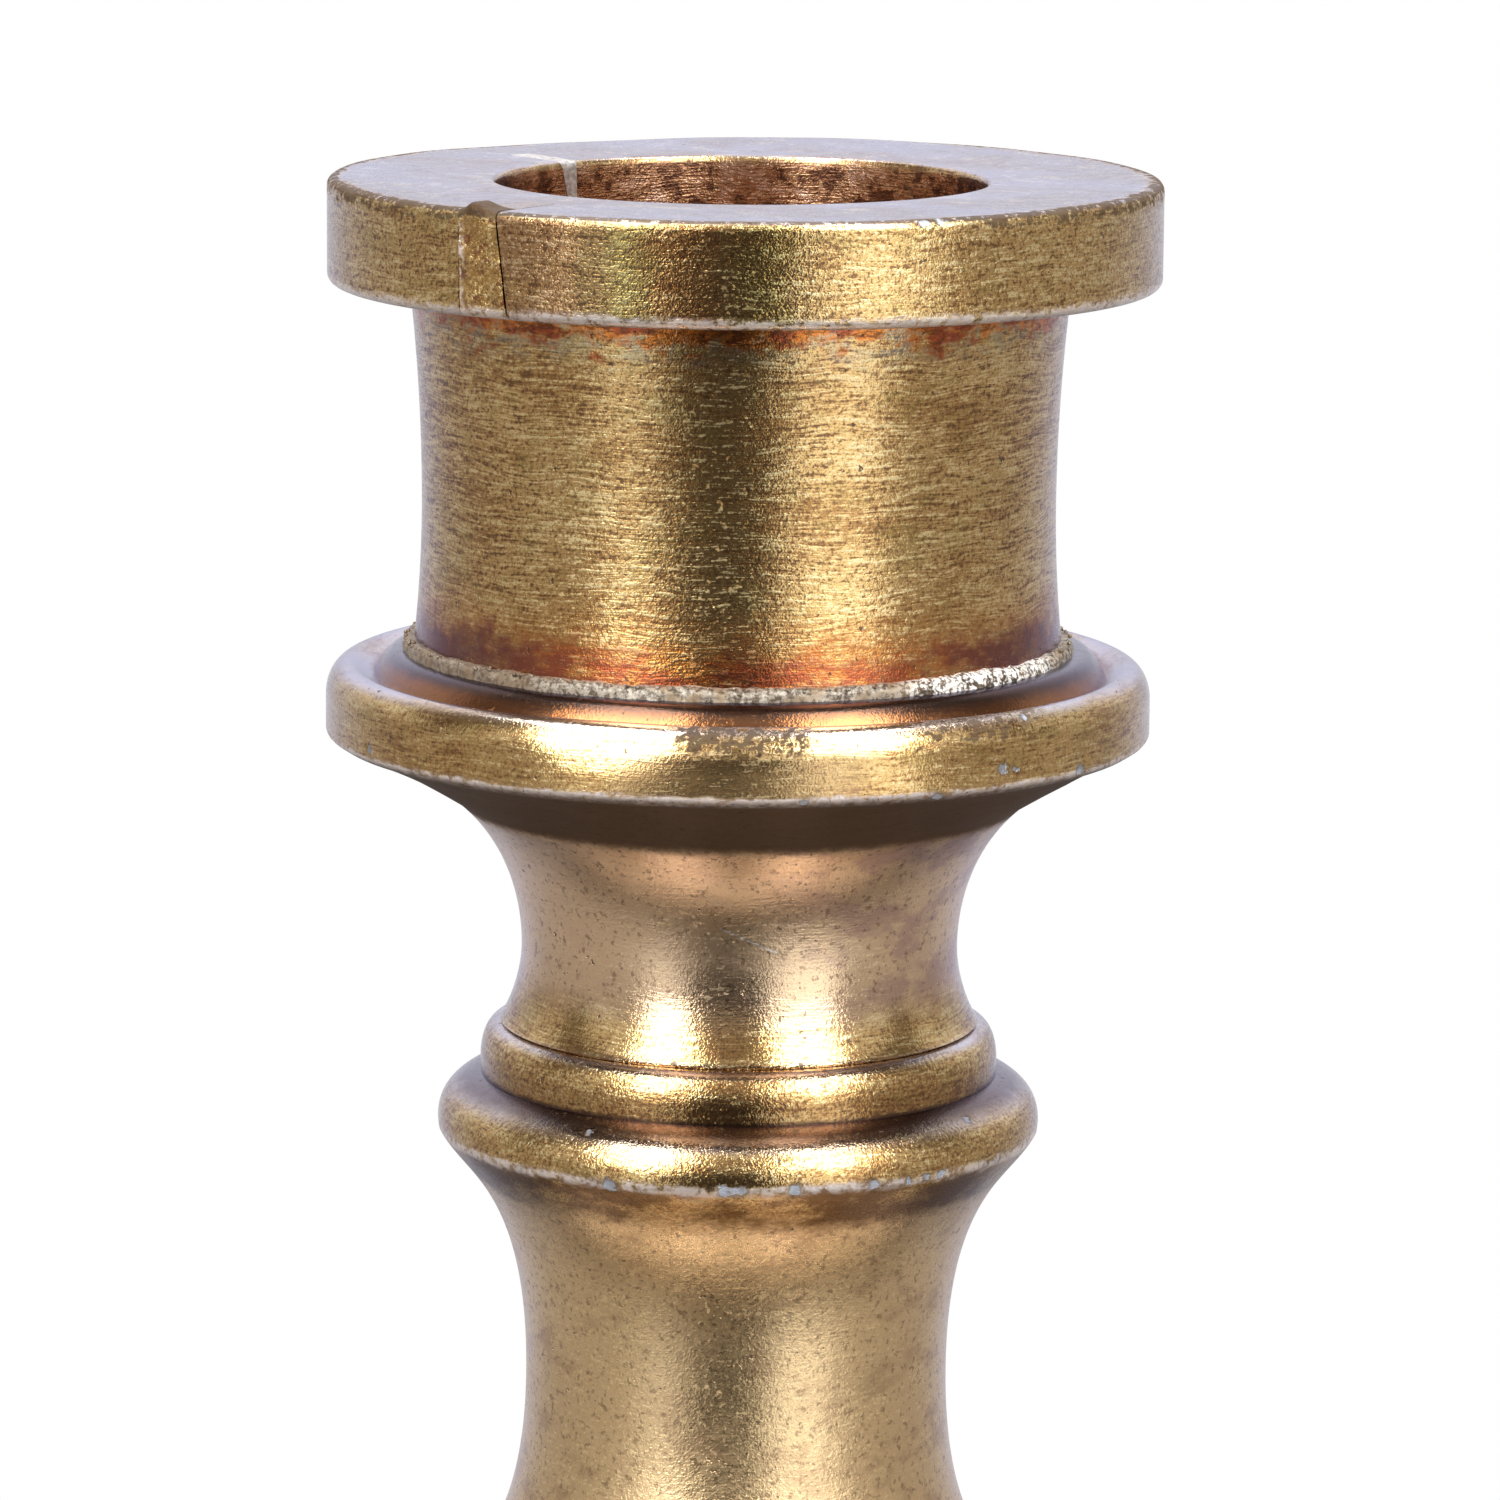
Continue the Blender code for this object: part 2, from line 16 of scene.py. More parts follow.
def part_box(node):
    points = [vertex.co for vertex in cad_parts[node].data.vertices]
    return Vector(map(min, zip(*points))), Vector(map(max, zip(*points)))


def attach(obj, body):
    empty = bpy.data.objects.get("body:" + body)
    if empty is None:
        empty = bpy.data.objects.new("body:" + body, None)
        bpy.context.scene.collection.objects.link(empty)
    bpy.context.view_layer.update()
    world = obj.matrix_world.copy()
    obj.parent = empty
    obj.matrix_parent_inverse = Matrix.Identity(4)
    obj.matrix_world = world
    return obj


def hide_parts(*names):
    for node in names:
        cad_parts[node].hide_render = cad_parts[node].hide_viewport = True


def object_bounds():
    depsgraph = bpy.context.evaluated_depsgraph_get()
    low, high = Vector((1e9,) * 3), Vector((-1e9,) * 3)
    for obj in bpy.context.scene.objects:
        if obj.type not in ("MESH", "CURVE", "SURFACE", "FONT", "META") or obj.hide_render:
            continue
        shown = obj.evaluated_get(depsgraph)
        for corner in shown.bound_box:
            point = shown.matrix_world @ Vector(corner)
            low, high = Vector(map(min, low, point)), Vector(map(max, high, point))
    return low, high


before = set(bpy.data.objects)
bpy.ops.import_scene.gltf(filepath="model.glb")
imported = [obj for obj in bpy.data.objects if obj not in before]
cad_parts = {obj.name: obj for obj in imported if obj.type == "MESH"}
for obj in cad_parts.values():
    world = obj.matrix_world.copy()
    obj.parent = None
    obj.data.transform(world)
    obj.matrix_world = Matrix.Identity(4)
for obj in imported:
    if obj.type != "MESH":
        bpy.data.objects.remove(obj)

bl_info = {
    "name": "Turned Brass Candlestick",
    "version": (1, 0, 0),
    "blender": (4, 5, 0),
    "location": "View3D > Sidebar > Candlestick",
    "description": "Builds the finished pieces of a turned and brazed brass candlestick",
    "category": "Add Mesh",
}

MM = 0.001
CAD_LOW, CAD_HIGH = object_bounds()
HEIGHT = CAD_HIGH.z
TOP_MM = HEIGHT / MM
BODY = "candlestick"
EJECTOR = "ejector"
SHARP_ANGLE = math.radians(40)


def node_radius(node):
    """Outer radius of a CAD node, from its box."""
    low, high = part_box(node)
    return (high.x - low.x) / 2


def node_low(node):
    """Lowest height of a CAD node."""
    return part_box(node)[0].z


def node_high(node):
    """Highest height of a CAD node."""
    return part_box(node)[1].z


# ---------------------------------------------------------------------------------------------------------
# Sizes and colours
# ---------------------------------------------------------------------------------------------------------

class CandlestickSizes(bpy.types.PropertyGroup):
    """Sizes of the finished surface, with defaults from the CAD frame."""

    segments: IntProperty(
        name="Segments", description="Steps round each turned piece", default=384, min=48, max=720)
    rim_radius: FloatProperty(
        name="Rim radius", description="Outside of the drip rim",
        default=node_radius("drip_rim"), unit="LENGTH")
    rim_height: FloatProperty(
        name="Rim height", description="Height of the drip rim's side",
        default=HEIGHT - node_low("drip_rim"), unit="LENGTH")
    bore_radius: FloatProperty(
        name="Bore radius", description="Inside of the candle socket", default=11.0 * MM, unit="LENGTH")
    tube_waist: FloatProperty(
        name="Tube waist", description="Smallest outside radius of the socket tube",
        default=14.26 * MM, unit="LENGTH")
    socket_shift: FloatProperty(
        name="Socket shift", description="How far the brazed socket stands off the stem's axis",
        default=-0.18 * MM, unit="LENGTH")
    edge_round: FloatProperty(
        name="Edge rounding", description="Wear on the sharp turned edges", default=0.25 * MM, unit="LENGTH")
    bead_grains: IntProperty(
        name="Bead grains", description="Grains in the braze bead round the tube's foot",
        default=1300, min=10)


class CandlestickColours(bpy.types.PropertyGroup):
    """Base colours of the finishes."""

    brass: FloatVectorProperty(
        name="Brass", description="Plain brass", subtype="COLOR", size=3, default=(0.80, 0.53, 0.21))
    # Painted reflection: a pale grey that stands in for the white surround reflected in faces that look up.
    painted_reflection: FloatVectorProperty(
        name="Haze", description="Pale grey haze on faces that look up", subtype="COLOR", size=3,
        default=(0.76, 0.71, 0.74))
    rubbed: FloatVectorProperty(
        name="Rubbed brass", description="Bright strokes", subtype="COLOR", size=3, default=(1.0, 0.80, 0.42))
    tarnish: FloatVectorProperty(
        name="Tarnish", description="Brown tarnish", subtype="COLOR", size=3, default=(0.40, 0.19, 0.05))
    grazing: FloatVectorProperty(
        name="Grazing tint", description="Tint of the metal at grazing angles", subtype="COLOR", size=3,
        default=(0.55, 0.58, 0.80))
    braze: FloatVectorProperty(
        name="Braze", description="Dull braze metal", subtype="COLOR", size=3, default=(0.48, 0.43, 0.35))
    solder: FloatVectorProperty(
        name="Solder", description="Grey solder", subtype="COLOR", size=3, default=(0.80, 0.76, 0.74))
    steel: FloatVectorProperty(
        name="Steel", description="Plain steel", subtype="COLOR", size=3, default=(0.42, 0.41, 0.40))
    heat_orange: FloatVectorProperty(
        name="Heat orange", description="Orange heat tint", subtype="COLOR", size=3,
        default=(0.80, 0.24, 0.02))
    heat_red: FloatVectorProperty(
        name="Heat red", description="Copper-red heat tint", subtype="COLOR", size=3,
        default=(0.34, 0.05, 0.02))
    heat_blue: FloatVectorProperty(
        name="Heat blue", description="Blue-grey heat tint", subtype="COLOR", size=3,
        default=(0.30, 0.36, 0.34))


def sizes():
    return bpy.context.scene.candlestick_sizes


def colours():
    return bpy.context.scene.candlestick_colours


# ---------------------------------------------------------------------------------------------------------
# Outlines
# ---------------------------------------------------------------------------------------------------------

def sweep(start, pull_start, pull_end, end, steps=24):
    """Points on a cubic curve, bent by its two pull points."""
    points = []
    for i in range(steps + 1):
        t = i / steps
        weights = ((1 - t) ** 3, 3 * (1 - t) ** 2 * t, 3 * (1 - t) * t ** 2, t ** 3)
        knots = (start, pull_start, pull_end, end)
        points.append(tuple(sum(w * k[axis] for w, k in zip(weights, knots)) for axis in (0, 1)))
    return points


def arc(centre, radius, start, end, steps=12):
    """Points on a circle, from one angle in degrees to another."""
    points = []
    for i in range(steps + 1):
        angle = math.radians(start + (end - start) * i / steps)
        points.append((centre[0] + radius * math.cos(angle), centre[1] + radius * math.sin(angle)))
    return points


def rounded(corner, before, after, radius, steps=6):
    """The points that replace a corner by an arc of that radius."""
    corner, before, after = (Vector(p[:2]) for p in (corner, before, after))
    back = (before - corner).normalized()
    ahead = (after - corner).normalized()
    half = back.angle(ahead) / 2
    reach = radius / math.tan(half)
    centre = corner + (back + ahead).normalized() * (radius / math.sin(half))
    first = corner + back * reach - centre
    turn = first.angle_signed(corner + ahead * reach - centre)
    points = []
    for i in range(steps + 1):
        angle = -turn * i / steps
        cosine, sine = math.cos(angle), math.sin(angle)
        points.append((centre.x + first.x * cosine - first.y * sine,
                       centre.y + first.x * sine + first.y * cosine))
    return points


def outline(*items, hidden=(), spacing=0.35 * MM):
    """A closed outline from (r, z) points and (r, z, rounding) corners, with the seen stretches divided up.

    The hidden points close the outline at the back. They stay as they are.
    """
    around = list(items) + list(hidden)
    corners = []
    for i, item in enumerate(items):
        if len(item) == 3:
            corners += rounded(item, around[i - 1], around[(i + 1) % len(around)], item[2])
        else:
            corners.append(item)
    points = []
    ends = corners[1:] + ([] if hidden else corners[:1])
    for (r0, z0), (r1, z1) in zip(corners, ends):
        steps = max(1, math.ceil(math.hypot(r1 - r0, z1 - z0) / spacing))
        points += [(r0 + (r1 - r0) * i / steps, z0 + (z1 - z0) * i / steps) for i in range(steps)]
    if hidden:
        points += [corners[-1], *hidden]
    return points


def mirrored(points, height):
    """The same outline upside down about a height, listed the other way round."""
    return [(r, 2 * height - z) for r, z in reversed(points)]


# ---------------------------------------------------------------------------------------------------------
# Meshes
# ---------------------------------------------------------------------------------------------------------

WEAR_AND_SHEEN_REACH = 0.3 * MM
FULL_WEAR_AND_SHEEN_TURN = 0.8
MARK_DEPTH = 0.08 * MM
WELD_DISTANCE = 0.002 * MM


# The turn measured here marks edges that are rubbed pale and given a painted reflection of the white surround.
def edge_wear_and_sheen(points):
    """How sharply the outline turns outwards near each point, from 0 to 1."""
    ring = np.array(points)
    gaps = np.linalg.norm(np.roll(ring, -1, 0) - ring, axis=1)
    steps = max(1, round(WEAR_AND_SHEEN_REACH / max(float(np.median(gaps)), 0.02 * MM)))
    back = ring - np.roll(ring, steps, 0)
    ahead = np.roll(ring, -steps, 0) - ring
    cross = back[:, 0] * ahead[:, 1] - back[:, 1] * ahead[:, 0]
    turn = np.arctan2(cross, (back * ahead).sum(1))
    area = (ring[:, 0] * np.roll(ring[:, 1], -1) - np.roll(ring[:, 0], -1) * ring[:, 1]).sum()
    return np.clip(turn * np.sign(area) / FULL_WEAR_AND_SHEEN_TURN, 0, 1)


def mark_field(marks, radius, height, angle):
    """Strength, from 0 to 1, of small round marks given as (angle in degrees, radius, height, size)."""
    field = np.zeros_like(radius)
    for degrees, mark_radius, mark_height, size in marks:
        turn = (angle - math.radians(degrees) + math.pi) % (2 * math.pi) - math.pi
        across = np.hypot(turn * mark_radius, height - mark_height)
        distance = np.hypot(across, radius - mark_radius) / size
        field = np.maximum(field, np.exp(-distance ** 2 * 1.5))
    return field


def points_at(radius, height, angle, shift=0.0):
    """Points in space from arrays of radius, height and angle."""
    x = radius * np.sin(angle) + shift
    return np.stack([x, -radius * np.cos(angle), height], axis=-1).reshape(-1, 3)


def turned(name, points, material, span=None, nudge=None, marks=(), shift=0.0, segments=None, plain_edges=None):
    """Turns an outline about the Z axis into a mesh object.

    span gives the (start, end) angles at each height, for a piece that is open at a seam. nudge returns how far
    each point moves outwards and upwards. marks are dents, which the material reads as the mark attribute.
    shift moves the piece sideways. The last argument, a function of (radius, height), says where edges are
    neither rubbed pale nor given a painted reflection.
    """
    ring = np.array(points)
    count = len(ring)
    segments = segments or sizes().segments
    heights = ring[:, 1]
    if span:
        start, end = span(heights)
        share = np.linspace(0, 1, segments)[:, None]
    else:
        start, end = np.zeros(count), np.full(count, 2 * math.pi)
        share = np.linspace(0, 1, segments, endpoint=False)[:, None]
    angle = start[None, :] + (end - start)[None, :] * share
    radius = np.broadcast_to(ring[None, :, 0], angle.shape).copy()
    height = np.broadcast_to(heights[None, :], angle.shape).copy()
    mark = mark_field(marks, radius, height, angle)
    if nudge:
        out, up = nudge(radius, height, angle)
        radius = np.where(radius > 0, radius + out, radius)
        height = height + up
    radius = np.where(radius > 0, radius - mark * MARK_DEPTH, radius)
    xyz = points_at(radius, height, angle, shift)
    rows = np.arange(segments)[:, None] * count
    columns = np.arange(count)[None, :]
    beside = (columns + 1) % count
    last = segments - 1 if span else segments
    following = (rows + count) % (segments * count)
    quads = np.stack([rows + columns, rows + beside, following + beside, following + columns], axis=-1)[:last]
    faces = quads.reshape(-1, 4).tolist()
    if span:
        faces += [list(range(count)), list(range((segments - 1) * count, segments * count))]
    mesh = bpy.data.meshes.new(name)
    mesh.from_pydata(xyz.tolist(), [], faces)
    # Edges that turn outwards are rubbed pale and given a painted reflection.
    worn_and_sheen = edge_wear_and_sheen(points)
    if plain_edges:
        worn_and_sheen = np.where(plain_edges(ring[:, 0], heights), 0.0, worn_and_sheen)
    wear_and_sheen = np.broadcast_to(worn_and_sheen[None, :], angle.shape).reshape(-1)
    for label, values in (("wear_and_sheen", wear_and_sheen), ("mark", mark.reshape(-1))):
        attribute = mesh.attributes.new(label, "FLOAT", "POINT")
        attribute.data.foreach_set("value", values.astype(np.float32))
    bm = bmesh.new()
    bm.from_mesh(mesh)
    bmesh.ops.remove_doubles(bm, verts=bm.verts, dist=WELD_DISTANCE)
    bmesh.ops.recalc_face_normals(bm, faces=bm.faces)
    bm.to_mesh(mesh)
    bm.free()
    return finished(name, mesh, material)


def finished(name, mesh, material):
    """Shades a mesh smooth and links it as an object with that material."""
    mesh.shade_smooth()
    mesh.set_sharp_from_angle(angle=SHARP_ANGLE)
    mesh.materials.clear()
    mesh.materials.append(material)
    obj = bpy.data.objects.new(name, mesh)
    bpy.context.scene.collection.objects.link(obj)
    return obj


def place(piece, body, slot, *nodes):
    """Rides a piece on its body and hides the CAD nodes it stands for. The slot argument is not used."""
    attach(piece, body)
    if nodes:
        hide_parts(*nodes)


def everywhere(radius, height):
    """All of a piece whose edges are neither rubbed pale nor given a painted reflection."""
    return radius > 0


def lumps(radius, height, angle, size, seed):
    """Smooth noise from about -1 to 1 at each point, with features of that size."""
    offset = Vector((seed * 17.3, seed * 5.1, seed * 9.7))
    values = [noise.noise(Vector(p) / size + offset) for p in points_at(radius, height, angle)]
    return np.array(values).reshape(radius.shape)


# ---------------------------------------------------------------------------------------------------------
# Shader maths
# ---------------------------------------------------------------------------------------------------------

class Wire:
    """A socket of a node tree. Python's operators add Math nodes to it."""

    def __init__(self, pad, socket):
        self.pad = pad
        self.socket = socket

    def maths(self, operation, first, second):
        return self.pad.node("ShaderNodeMath", {"operation": operation}, {0: first, 1: second})

    def __add__(self, other):
        return self.maths("ADD", self, other)

    def __sub__(self, other):
        return self.maths("SUBTRACT", self, other)

    def __rsub__(self, other):
        return self.maths("SUBTRACT", other, self)

    def __mul__(self, other):
        return self.maths("MULTIPLY", self, other)

    __radd__ = __add__
    __rmul__ = __mul__


class Pad:
    """A node tree that nodes are added to by type, settings and values or links."""

    def __init__(self, tree):
        self.tree = tree
        tree.nodes.clear()

    def node(self, kind, settings=None, inputs=None, output=0):
        node = self.tree.nodes.new(kind)
        for key, value in (settings or {}).items():
            setattr(node, key, value)
        for key, value in (inputs or {}).items():
            socket = node.inputs[key]
            if isinstance(value, Wire):
                self.tree.links.new(value.socket, socket)
            elif socket.type == "RGBA":
                socket.default_value = (*value, 1.0)[:4]
            else:
                socket.default_value = value
        return Wire(self, node.outputs[output]) if len(node.outputs) else None

    def place(self):
        """Object coordinates in millimetres."""
        point = self.node("ShaderNodeTexCoord", output="Object")
        return self.node("ShaderNodeVectorMath", {"operation": "SCALE"}, {0: point, "Scale": 1 / MM})

    def split(self, vector):
        """The x, y and z of a vector."""
        outputs = self.node("ShaderNodeSeparateXYZ", None, {0: vector}).socket.node.outputs
        return [Wire(self, socket) for socket in outputs]

    def absolute(self, value):
        return self.node("ShaderNodeMath", {"operation": "ABSOLUTE"}, {0: value})

    def stretch(self, vector, sideways, upwards):
        """Coordinates for a pattern that runs round the turned piece."""
        factors = (sideways, sideways, upwards)
        return self.node("ShaderNodeVectorMath", {"operation": "MULTIPLY"}, {0: vector, 1: factors})

    def noise(self, vector, scale, detail, roughness):
        values = {"Vector": vector, "Scale": scale, "Detail": detail, "Roughness": roughness}
        return self.node("ShaderNodeTexNoise", {"noise_dimensions": "3D"}, values)

    def smooth(self, value, low, high):
        """0 below low, 1 above high, and a smooth step between them. low may be the larger one."""
        values = {"Value": value, "From Min": low, "From Max": high}
        return self.node("ShaderNodeMapRange", {"interpolation_type": "SMOOTHSTEP"}, values)

    def between(self, value, low, high, soft):
        """1 between low and high, fading over the soft distance outside them."""
        return self.smooth(value, low - soft, low) * self.smooth(value, high + soft, high)

    def mix(self, first, second, factor, blend="MIX"):
        settings = {"data_type": "RGBA", "blend_type": blend, "clamp_factor": True}
        return self.node("ShaderNodeMix", settings, {"Factor": factor, 6: first, 7: second}, output=2)

    def radius(self, place_mm):
        """Distance from the Z axis in millimetres."""
        flat = self.node("ShaderNodeVectorMath", {"operation": "MULTIPLY"}, {0: place_mm, 1: (1, 1, 0)})
        return self.node("ShaderNodeVectorMath", {"operation": "LENGTH"}, {0: flat}, output="Value")

    def attribute(self, name):
        return self.node("ShaderNodeAttribute", {"attribute_name": name}, output="Fac")

    def up(self):
        """How much the surface faces up, from -1 to 1."""
        normal = self.node("ShaderNodeNewGeometry", output="Normal")
        return self.split(normal)[2]


def new_pad(name):
    material = bpy.data.materials.new(name)
    material.use_nodes = True
    return material, Pad(material.node_tree)


def surface(pad, values, bump, distance):
    """Ends a material in a Principled shader with a bump of that distance."""
    normal = pad.node("ShaderNodeBump", None, {"Strength": 1.0, "Distance": distance, "Height": bump})
    shader = pad.node("ShaderNodeBsdfPrincipled", None, {**values, "Normal": normal})
    pad.node("ShaderNodeOutputMaterial", None, {"Surface": shader})


# ---------------------------------------------------------------------------------------------------------
# Geometry trees
# ---------------------------------------------------------------------------------------------------------

class GeometryPad:
    """Adds nodes to a geometry tree by type, settings and values or links."""

    def __init__(self, tree):
        self.tree = tree

    def add(self, kind, settings=None, inputs=None, output=0):
        node = self.tree.nodes.new(kind)
        for key, value in (settings or {}).items():
            setattr(node, key, value)
        for key, value in (inputs or {}).items():
            if isinstance(value, bpy.types.NodeSocket):
                self.tree.links.new(value, node.inputs[key])
            else:
                node.inputs[key].default_value = value
        return node.outputs[output]

    def random(self, kind, low, high, seed):
        """A random value node of a data type, between two limits."""
        first = {"FLOAT_VECTOR": 0, "FLOAT": 2}[kind]
        output = {"FLOAT_VECTOR": 0, "FLOAT": 1}[kind]
        return self.add("FunctionNodeRandomValue", {"data_type": kind},
                        {first: low, first + 1: high, "Seed": seed}, output)

    def finish(self, geometry, material):
        """Ends the tree in real geometry with one material."""
        real = self.add("GeometryNodeRealizeInstances", None, {"Geometry": geometry})
        painted = self.add("GeometryNodeSetMaterial", None, {"Geometry": real, "Material": material})
        self.tree.links.new(painted, self.tree.nodes.new("NodeGroupOutput").inputs[0])
        return self.tree


def geometry_tree(name, defaults):
    """A new geometry tree with named inputs: its pad, and the sockets that the inputs come from."""
    tree = bpy.data.node_groups.new(name, "GeometryNodeTree")
    tree.interface.new_socket("Geometry", in_out="OUTPUT", socket_type="NodeSocketGeometry")
    for label, default in defaults.items():
        kind = "NodeSocketInt" if isinstance(default, int) else "NodeSocketFloat"
        tree.interface.new_socket(label, in_out="INPUT", socket_type=kind).default_value = default
    return GeometryPad(tree), tree.nodes.new("NodeGroupInput").outputs


def run_tree(name, tree, values, material):
    """Runs a geometry tree on an empty mesh with its named inputs, and returns the plain mesh object."""
    holder = bpy.data.objects.new(name + "_holder", bpy.data.meshes.new(name + "_holder"))
    bpy.context.scene.collection.objects.link(holder)
    modifier = holder.modifiers.new("tree", "NODES")
    modifier.node_group = tree
    for item in tree.interface.items_tree:
        if item.in_out == "INPUT" and item.name in values:
            modifier[item.identifier] = values[item.name]
    graph = bpy.context.evaluated_depsgraph_get()
    mesh = bpy.data.meshes.new_from_object(holder.evaluated_get(graph))
    holder.modifiers.clear()
    bpy.data.objects.remove(holder)
    mesh.name = name
    return finished(name, mesh, material)


# ---------------------------------------------------------------------------------------------------------
# Finishes
# ---------------------------------------------------------------------------------------------------------

PITS = (0.07, 0.04, 0.03)
# Pale rubbed brass on edges, also a painted reflection of the white surround.
WORN_PALE_SHEEN = (0.86, 0.80, 0.79)
# Dark of bruises, and on the neck also painted shade under the flange.
BRUISE_AND_SHADE_DARK = (0.07, 0.042, 0.02)
NICK_RIM = (0.10, 0.06, 0.04)
NICK_GREY = (0.46, 0.49, 0.55)
BRASS_BUMP = 0.014 * MM


def brass_finish(name, tint=None, worn_and_sheen=None, bruise_and_shade=None, shine=None,
                 gloss=0.0, scratch=1.0, dull=0.0, grit=1.0):
    """Aged turned brass: strokes round the piece, brown film between them, pits, edges rubbed pale with a
    painted reflection, grey nicks, and a painted pale reflection on faces that look up.

    tint(pad, place, colour) adds a piece's own stains. The next three functions of (pad, place) say where it is
    rubbed pale with a painted reflection on its edges, bruised dark, with painted shade under the neck's flange
    too, and polished. gloss lowers the roughness and dull adds brown film. scratch and grit are the strength of
    the strokes and of the fine grain.
    """
    shade = colours()
    material, pad = new_pad(name)
    place_mm = pad.place()
    x, y, z = pad.split(place_mm)
    tilt = pad.noise(pad.stretch(place_mm, 0.16, 0.30), 1.0, 2.0, 0.5) * 1.1
    slanted = pad.node("ShaderNodeCombineXYZ", None, {0: x, 1: y, 2: z + tilt})
    strokes = pad.noise(pad.stretch(slanted, 0.34, 5.6), 1.0, 3.0, 0.65)
    scores = pad.noise(pad.stretch(slanted, 0.9, 11.0), 1.0, 2.0, 0.6)
    crossed = pad.node("ShaderNodeCombineXYZ", None, {0: x, 1: y, 2: z - x * 0.7 + y * 0.3})
    slashes = pad.noise(pad.stretch(crossed, 1.6, 5.0), 1.0, 2.0, 0.55)
    grains = pad.noise(place_mm, 5.5, 2.0, 0.65)
    specks = pad.noise(place_mm, 11.0, 1.0, 0.5)
    patches = pad.noise(pad.stretch(place_mm, 0.20, 0.32), 1.0, 5.0, 0.62)
    cut = (strokes * 0.5 + scores * 0.5 - 0.5) * scratch
    cut = cut + (grains - 0.5) * 0.35 * grit + (slashes - 0.5) * 0.22 * grit
    film = pad.smooth(cut + (patches - 0.5) * -0.45 - 0.06 * dull, 0.05, -0.12)
    bright = pad.smooth(cut + (patches - 0.5) * -0.2, 0.035, 0.115)
    colour = pad.mix(tuple(shade.brass), tuple(shade.tarnish), film * 0.85 + 0.10 * dull)
    colour = pad.mix(colour, tuple(shade.rubbed), bright * (0.9 - 0.4 * dull))
    deep = pad.smooth(cut + (grains - 0.5) * 0.3, -0.05, -0.14) * scratch
    colour = pad.mix(colour, (0.13, 0.06, 0.02), deep * 0.75)
    olive = pad.smooth(pad.noise(pad.stretch(place_mm, 0.35, 0.5), 1.7, 3.0, 0.6), 0.52, 0.66)
    colour = pad.mix(colour, (0.50, 0.40, 0.12), olive * 0.25)
    speckle = pad.smooth(specks * 0.6 + grains * 0.4, 0.50, 0.36) * grit
    colour = pad.mix(colour, (0.20, 0.11, 0.05), speckle * 0.38)
    # Painted reflection: faces that look up are mixed towards pale grey, for the white surround they reflect.
    painted_reflection = pad.smooth(pad.up(), 0.5, 0.95) * (0.40 + 0.5 * pad.smooth(patches, 0.62, 0.40))
    colour = pad.mix(colour, tuple(shade.painted_reflection), painted_reflection)
    if tint:
        colour = tint(pad, place_mm, colour)
    pits = pad.smooth(pad.noise(place_mm, 1.9, 3.0, 0.55), 0.70, 0.73)
    dots = pad.smooth(pad.noise(place_mm, 3.6, 1.0, 0.5), 0.68, 0.75)
    colour = pad.mix(colour, PITS, pits * 0.85)
    # Edges rubbed pale, with a painted reflection of the white surround on them.
    wear_and_sheen = pad.attribute("wear_and_sheen")
    if worn_and_sheen:
        wear_and_sheen = wear_and_sheen + worn_and_sheen(pad, place_mm)
    mark = pad.attribute("mark")
    broken = pad.noise(place_mm, 2.2, 3.0, 0.65)
    pale = pad.smooth(wear_and_sheen * (0.30 + 0.75 * pad.smooth(broken, 0.34, 0.60)), 0.0, 1.0)
    colour = pad.mix(colour, WORN_PALE_SHEEN, pale * 0.75)
    # Dark dots and each piece's bruises; on the neck this also brings painted shade under the flange.
    dark = dots * 0.5
    if bruise_and_shade:
        dark = pad.smooth(dark + bruise_and_shade(pad, place_mm), 0.0, 1.0)
    colour = pad.mix(colour, BRUISE_AND_SHADE_DARK, dark * 0.92)
    chip = mark + (broken - 0.5) * 1.5
    colour = pad.mix(colour, NICK_RIM, pad.smooth(chip, 0.26, 0.38) * 0.45)
    nick = pad.smooth(chip, 0.40, 0.62) * pad.smooth(mark, 0.02, 0.1)
    colour = pad.mix(colour, NICK_GREY, nick)
    rough = 0.17 - gloss + 0.10 * film + 0.15 * bright + 0.06 * dull
    rough = rough + 0.25 * nick + 0.2 * pits + 0.25 * pale + 0.6 * dark
    if shine:
        rough = rough - shine(pad, place_mm)
    bump = (strokes * 1.1 + scores * 0.9) * scratch + (grains * 1.1 + slashes * 0.6 + specks * 0.4) * grit
    values = {
        "Base Color": colour,
        "Metallic": 1.0 - 0.35 * pale - 0.6 * dark,
        "Roughness": rough,
        "Specular Tint": tuple(shade.grazing),
        "Coat Weight": 0.7 - 0.65 * dark,
        "Coat Roughness": 0.25,
    }
    surface(pad, values, bump - pits * 1.5 - nick * 1.5, BRASS_BUMP)
    return material


def simple_finish(name, colour, roughness, scale=4.0):
    """A plain cast or rolled metal with an even grain."""
    material, pad = new_pad(name)
    place_mm = pad.place()
    grain = pad.noise(place_mm, scale, 4.0, 0.6)
    dark = tuple(0.45 * c for c in colour)
    values = {
        "Base Color": pad.mix(tuple(colour), dark, pad.smooth(grain, 0.60, 0.35) * 0.8),
        "Metallic": 1.0,
        "Roughness": roughness + 0.2 * grain,
    }
    surface(pad, values, grain, 0.01 * MM)
    return material


# ---------------------------------------------------------------------------------------------------------
# Socket
# ---------------------------------------------------------------------------------------------------------

RIM_SEAM = math.radians(-37.3)
RIM_SEAM_HALF = 1.04 * MM
RIM_SEAM_LEAN = 0.65 * MM
TUBE_SEAM = math.radians(-134.0)
TUBE_SEAM_HALF = 0.22 * MM
RIM_SEAT = 14.3 * MM
FOOT_OF_TUBE = HEIGHT - 20.7 * MM
SEAT_TOP = HEIGHT - 20.8 * MM


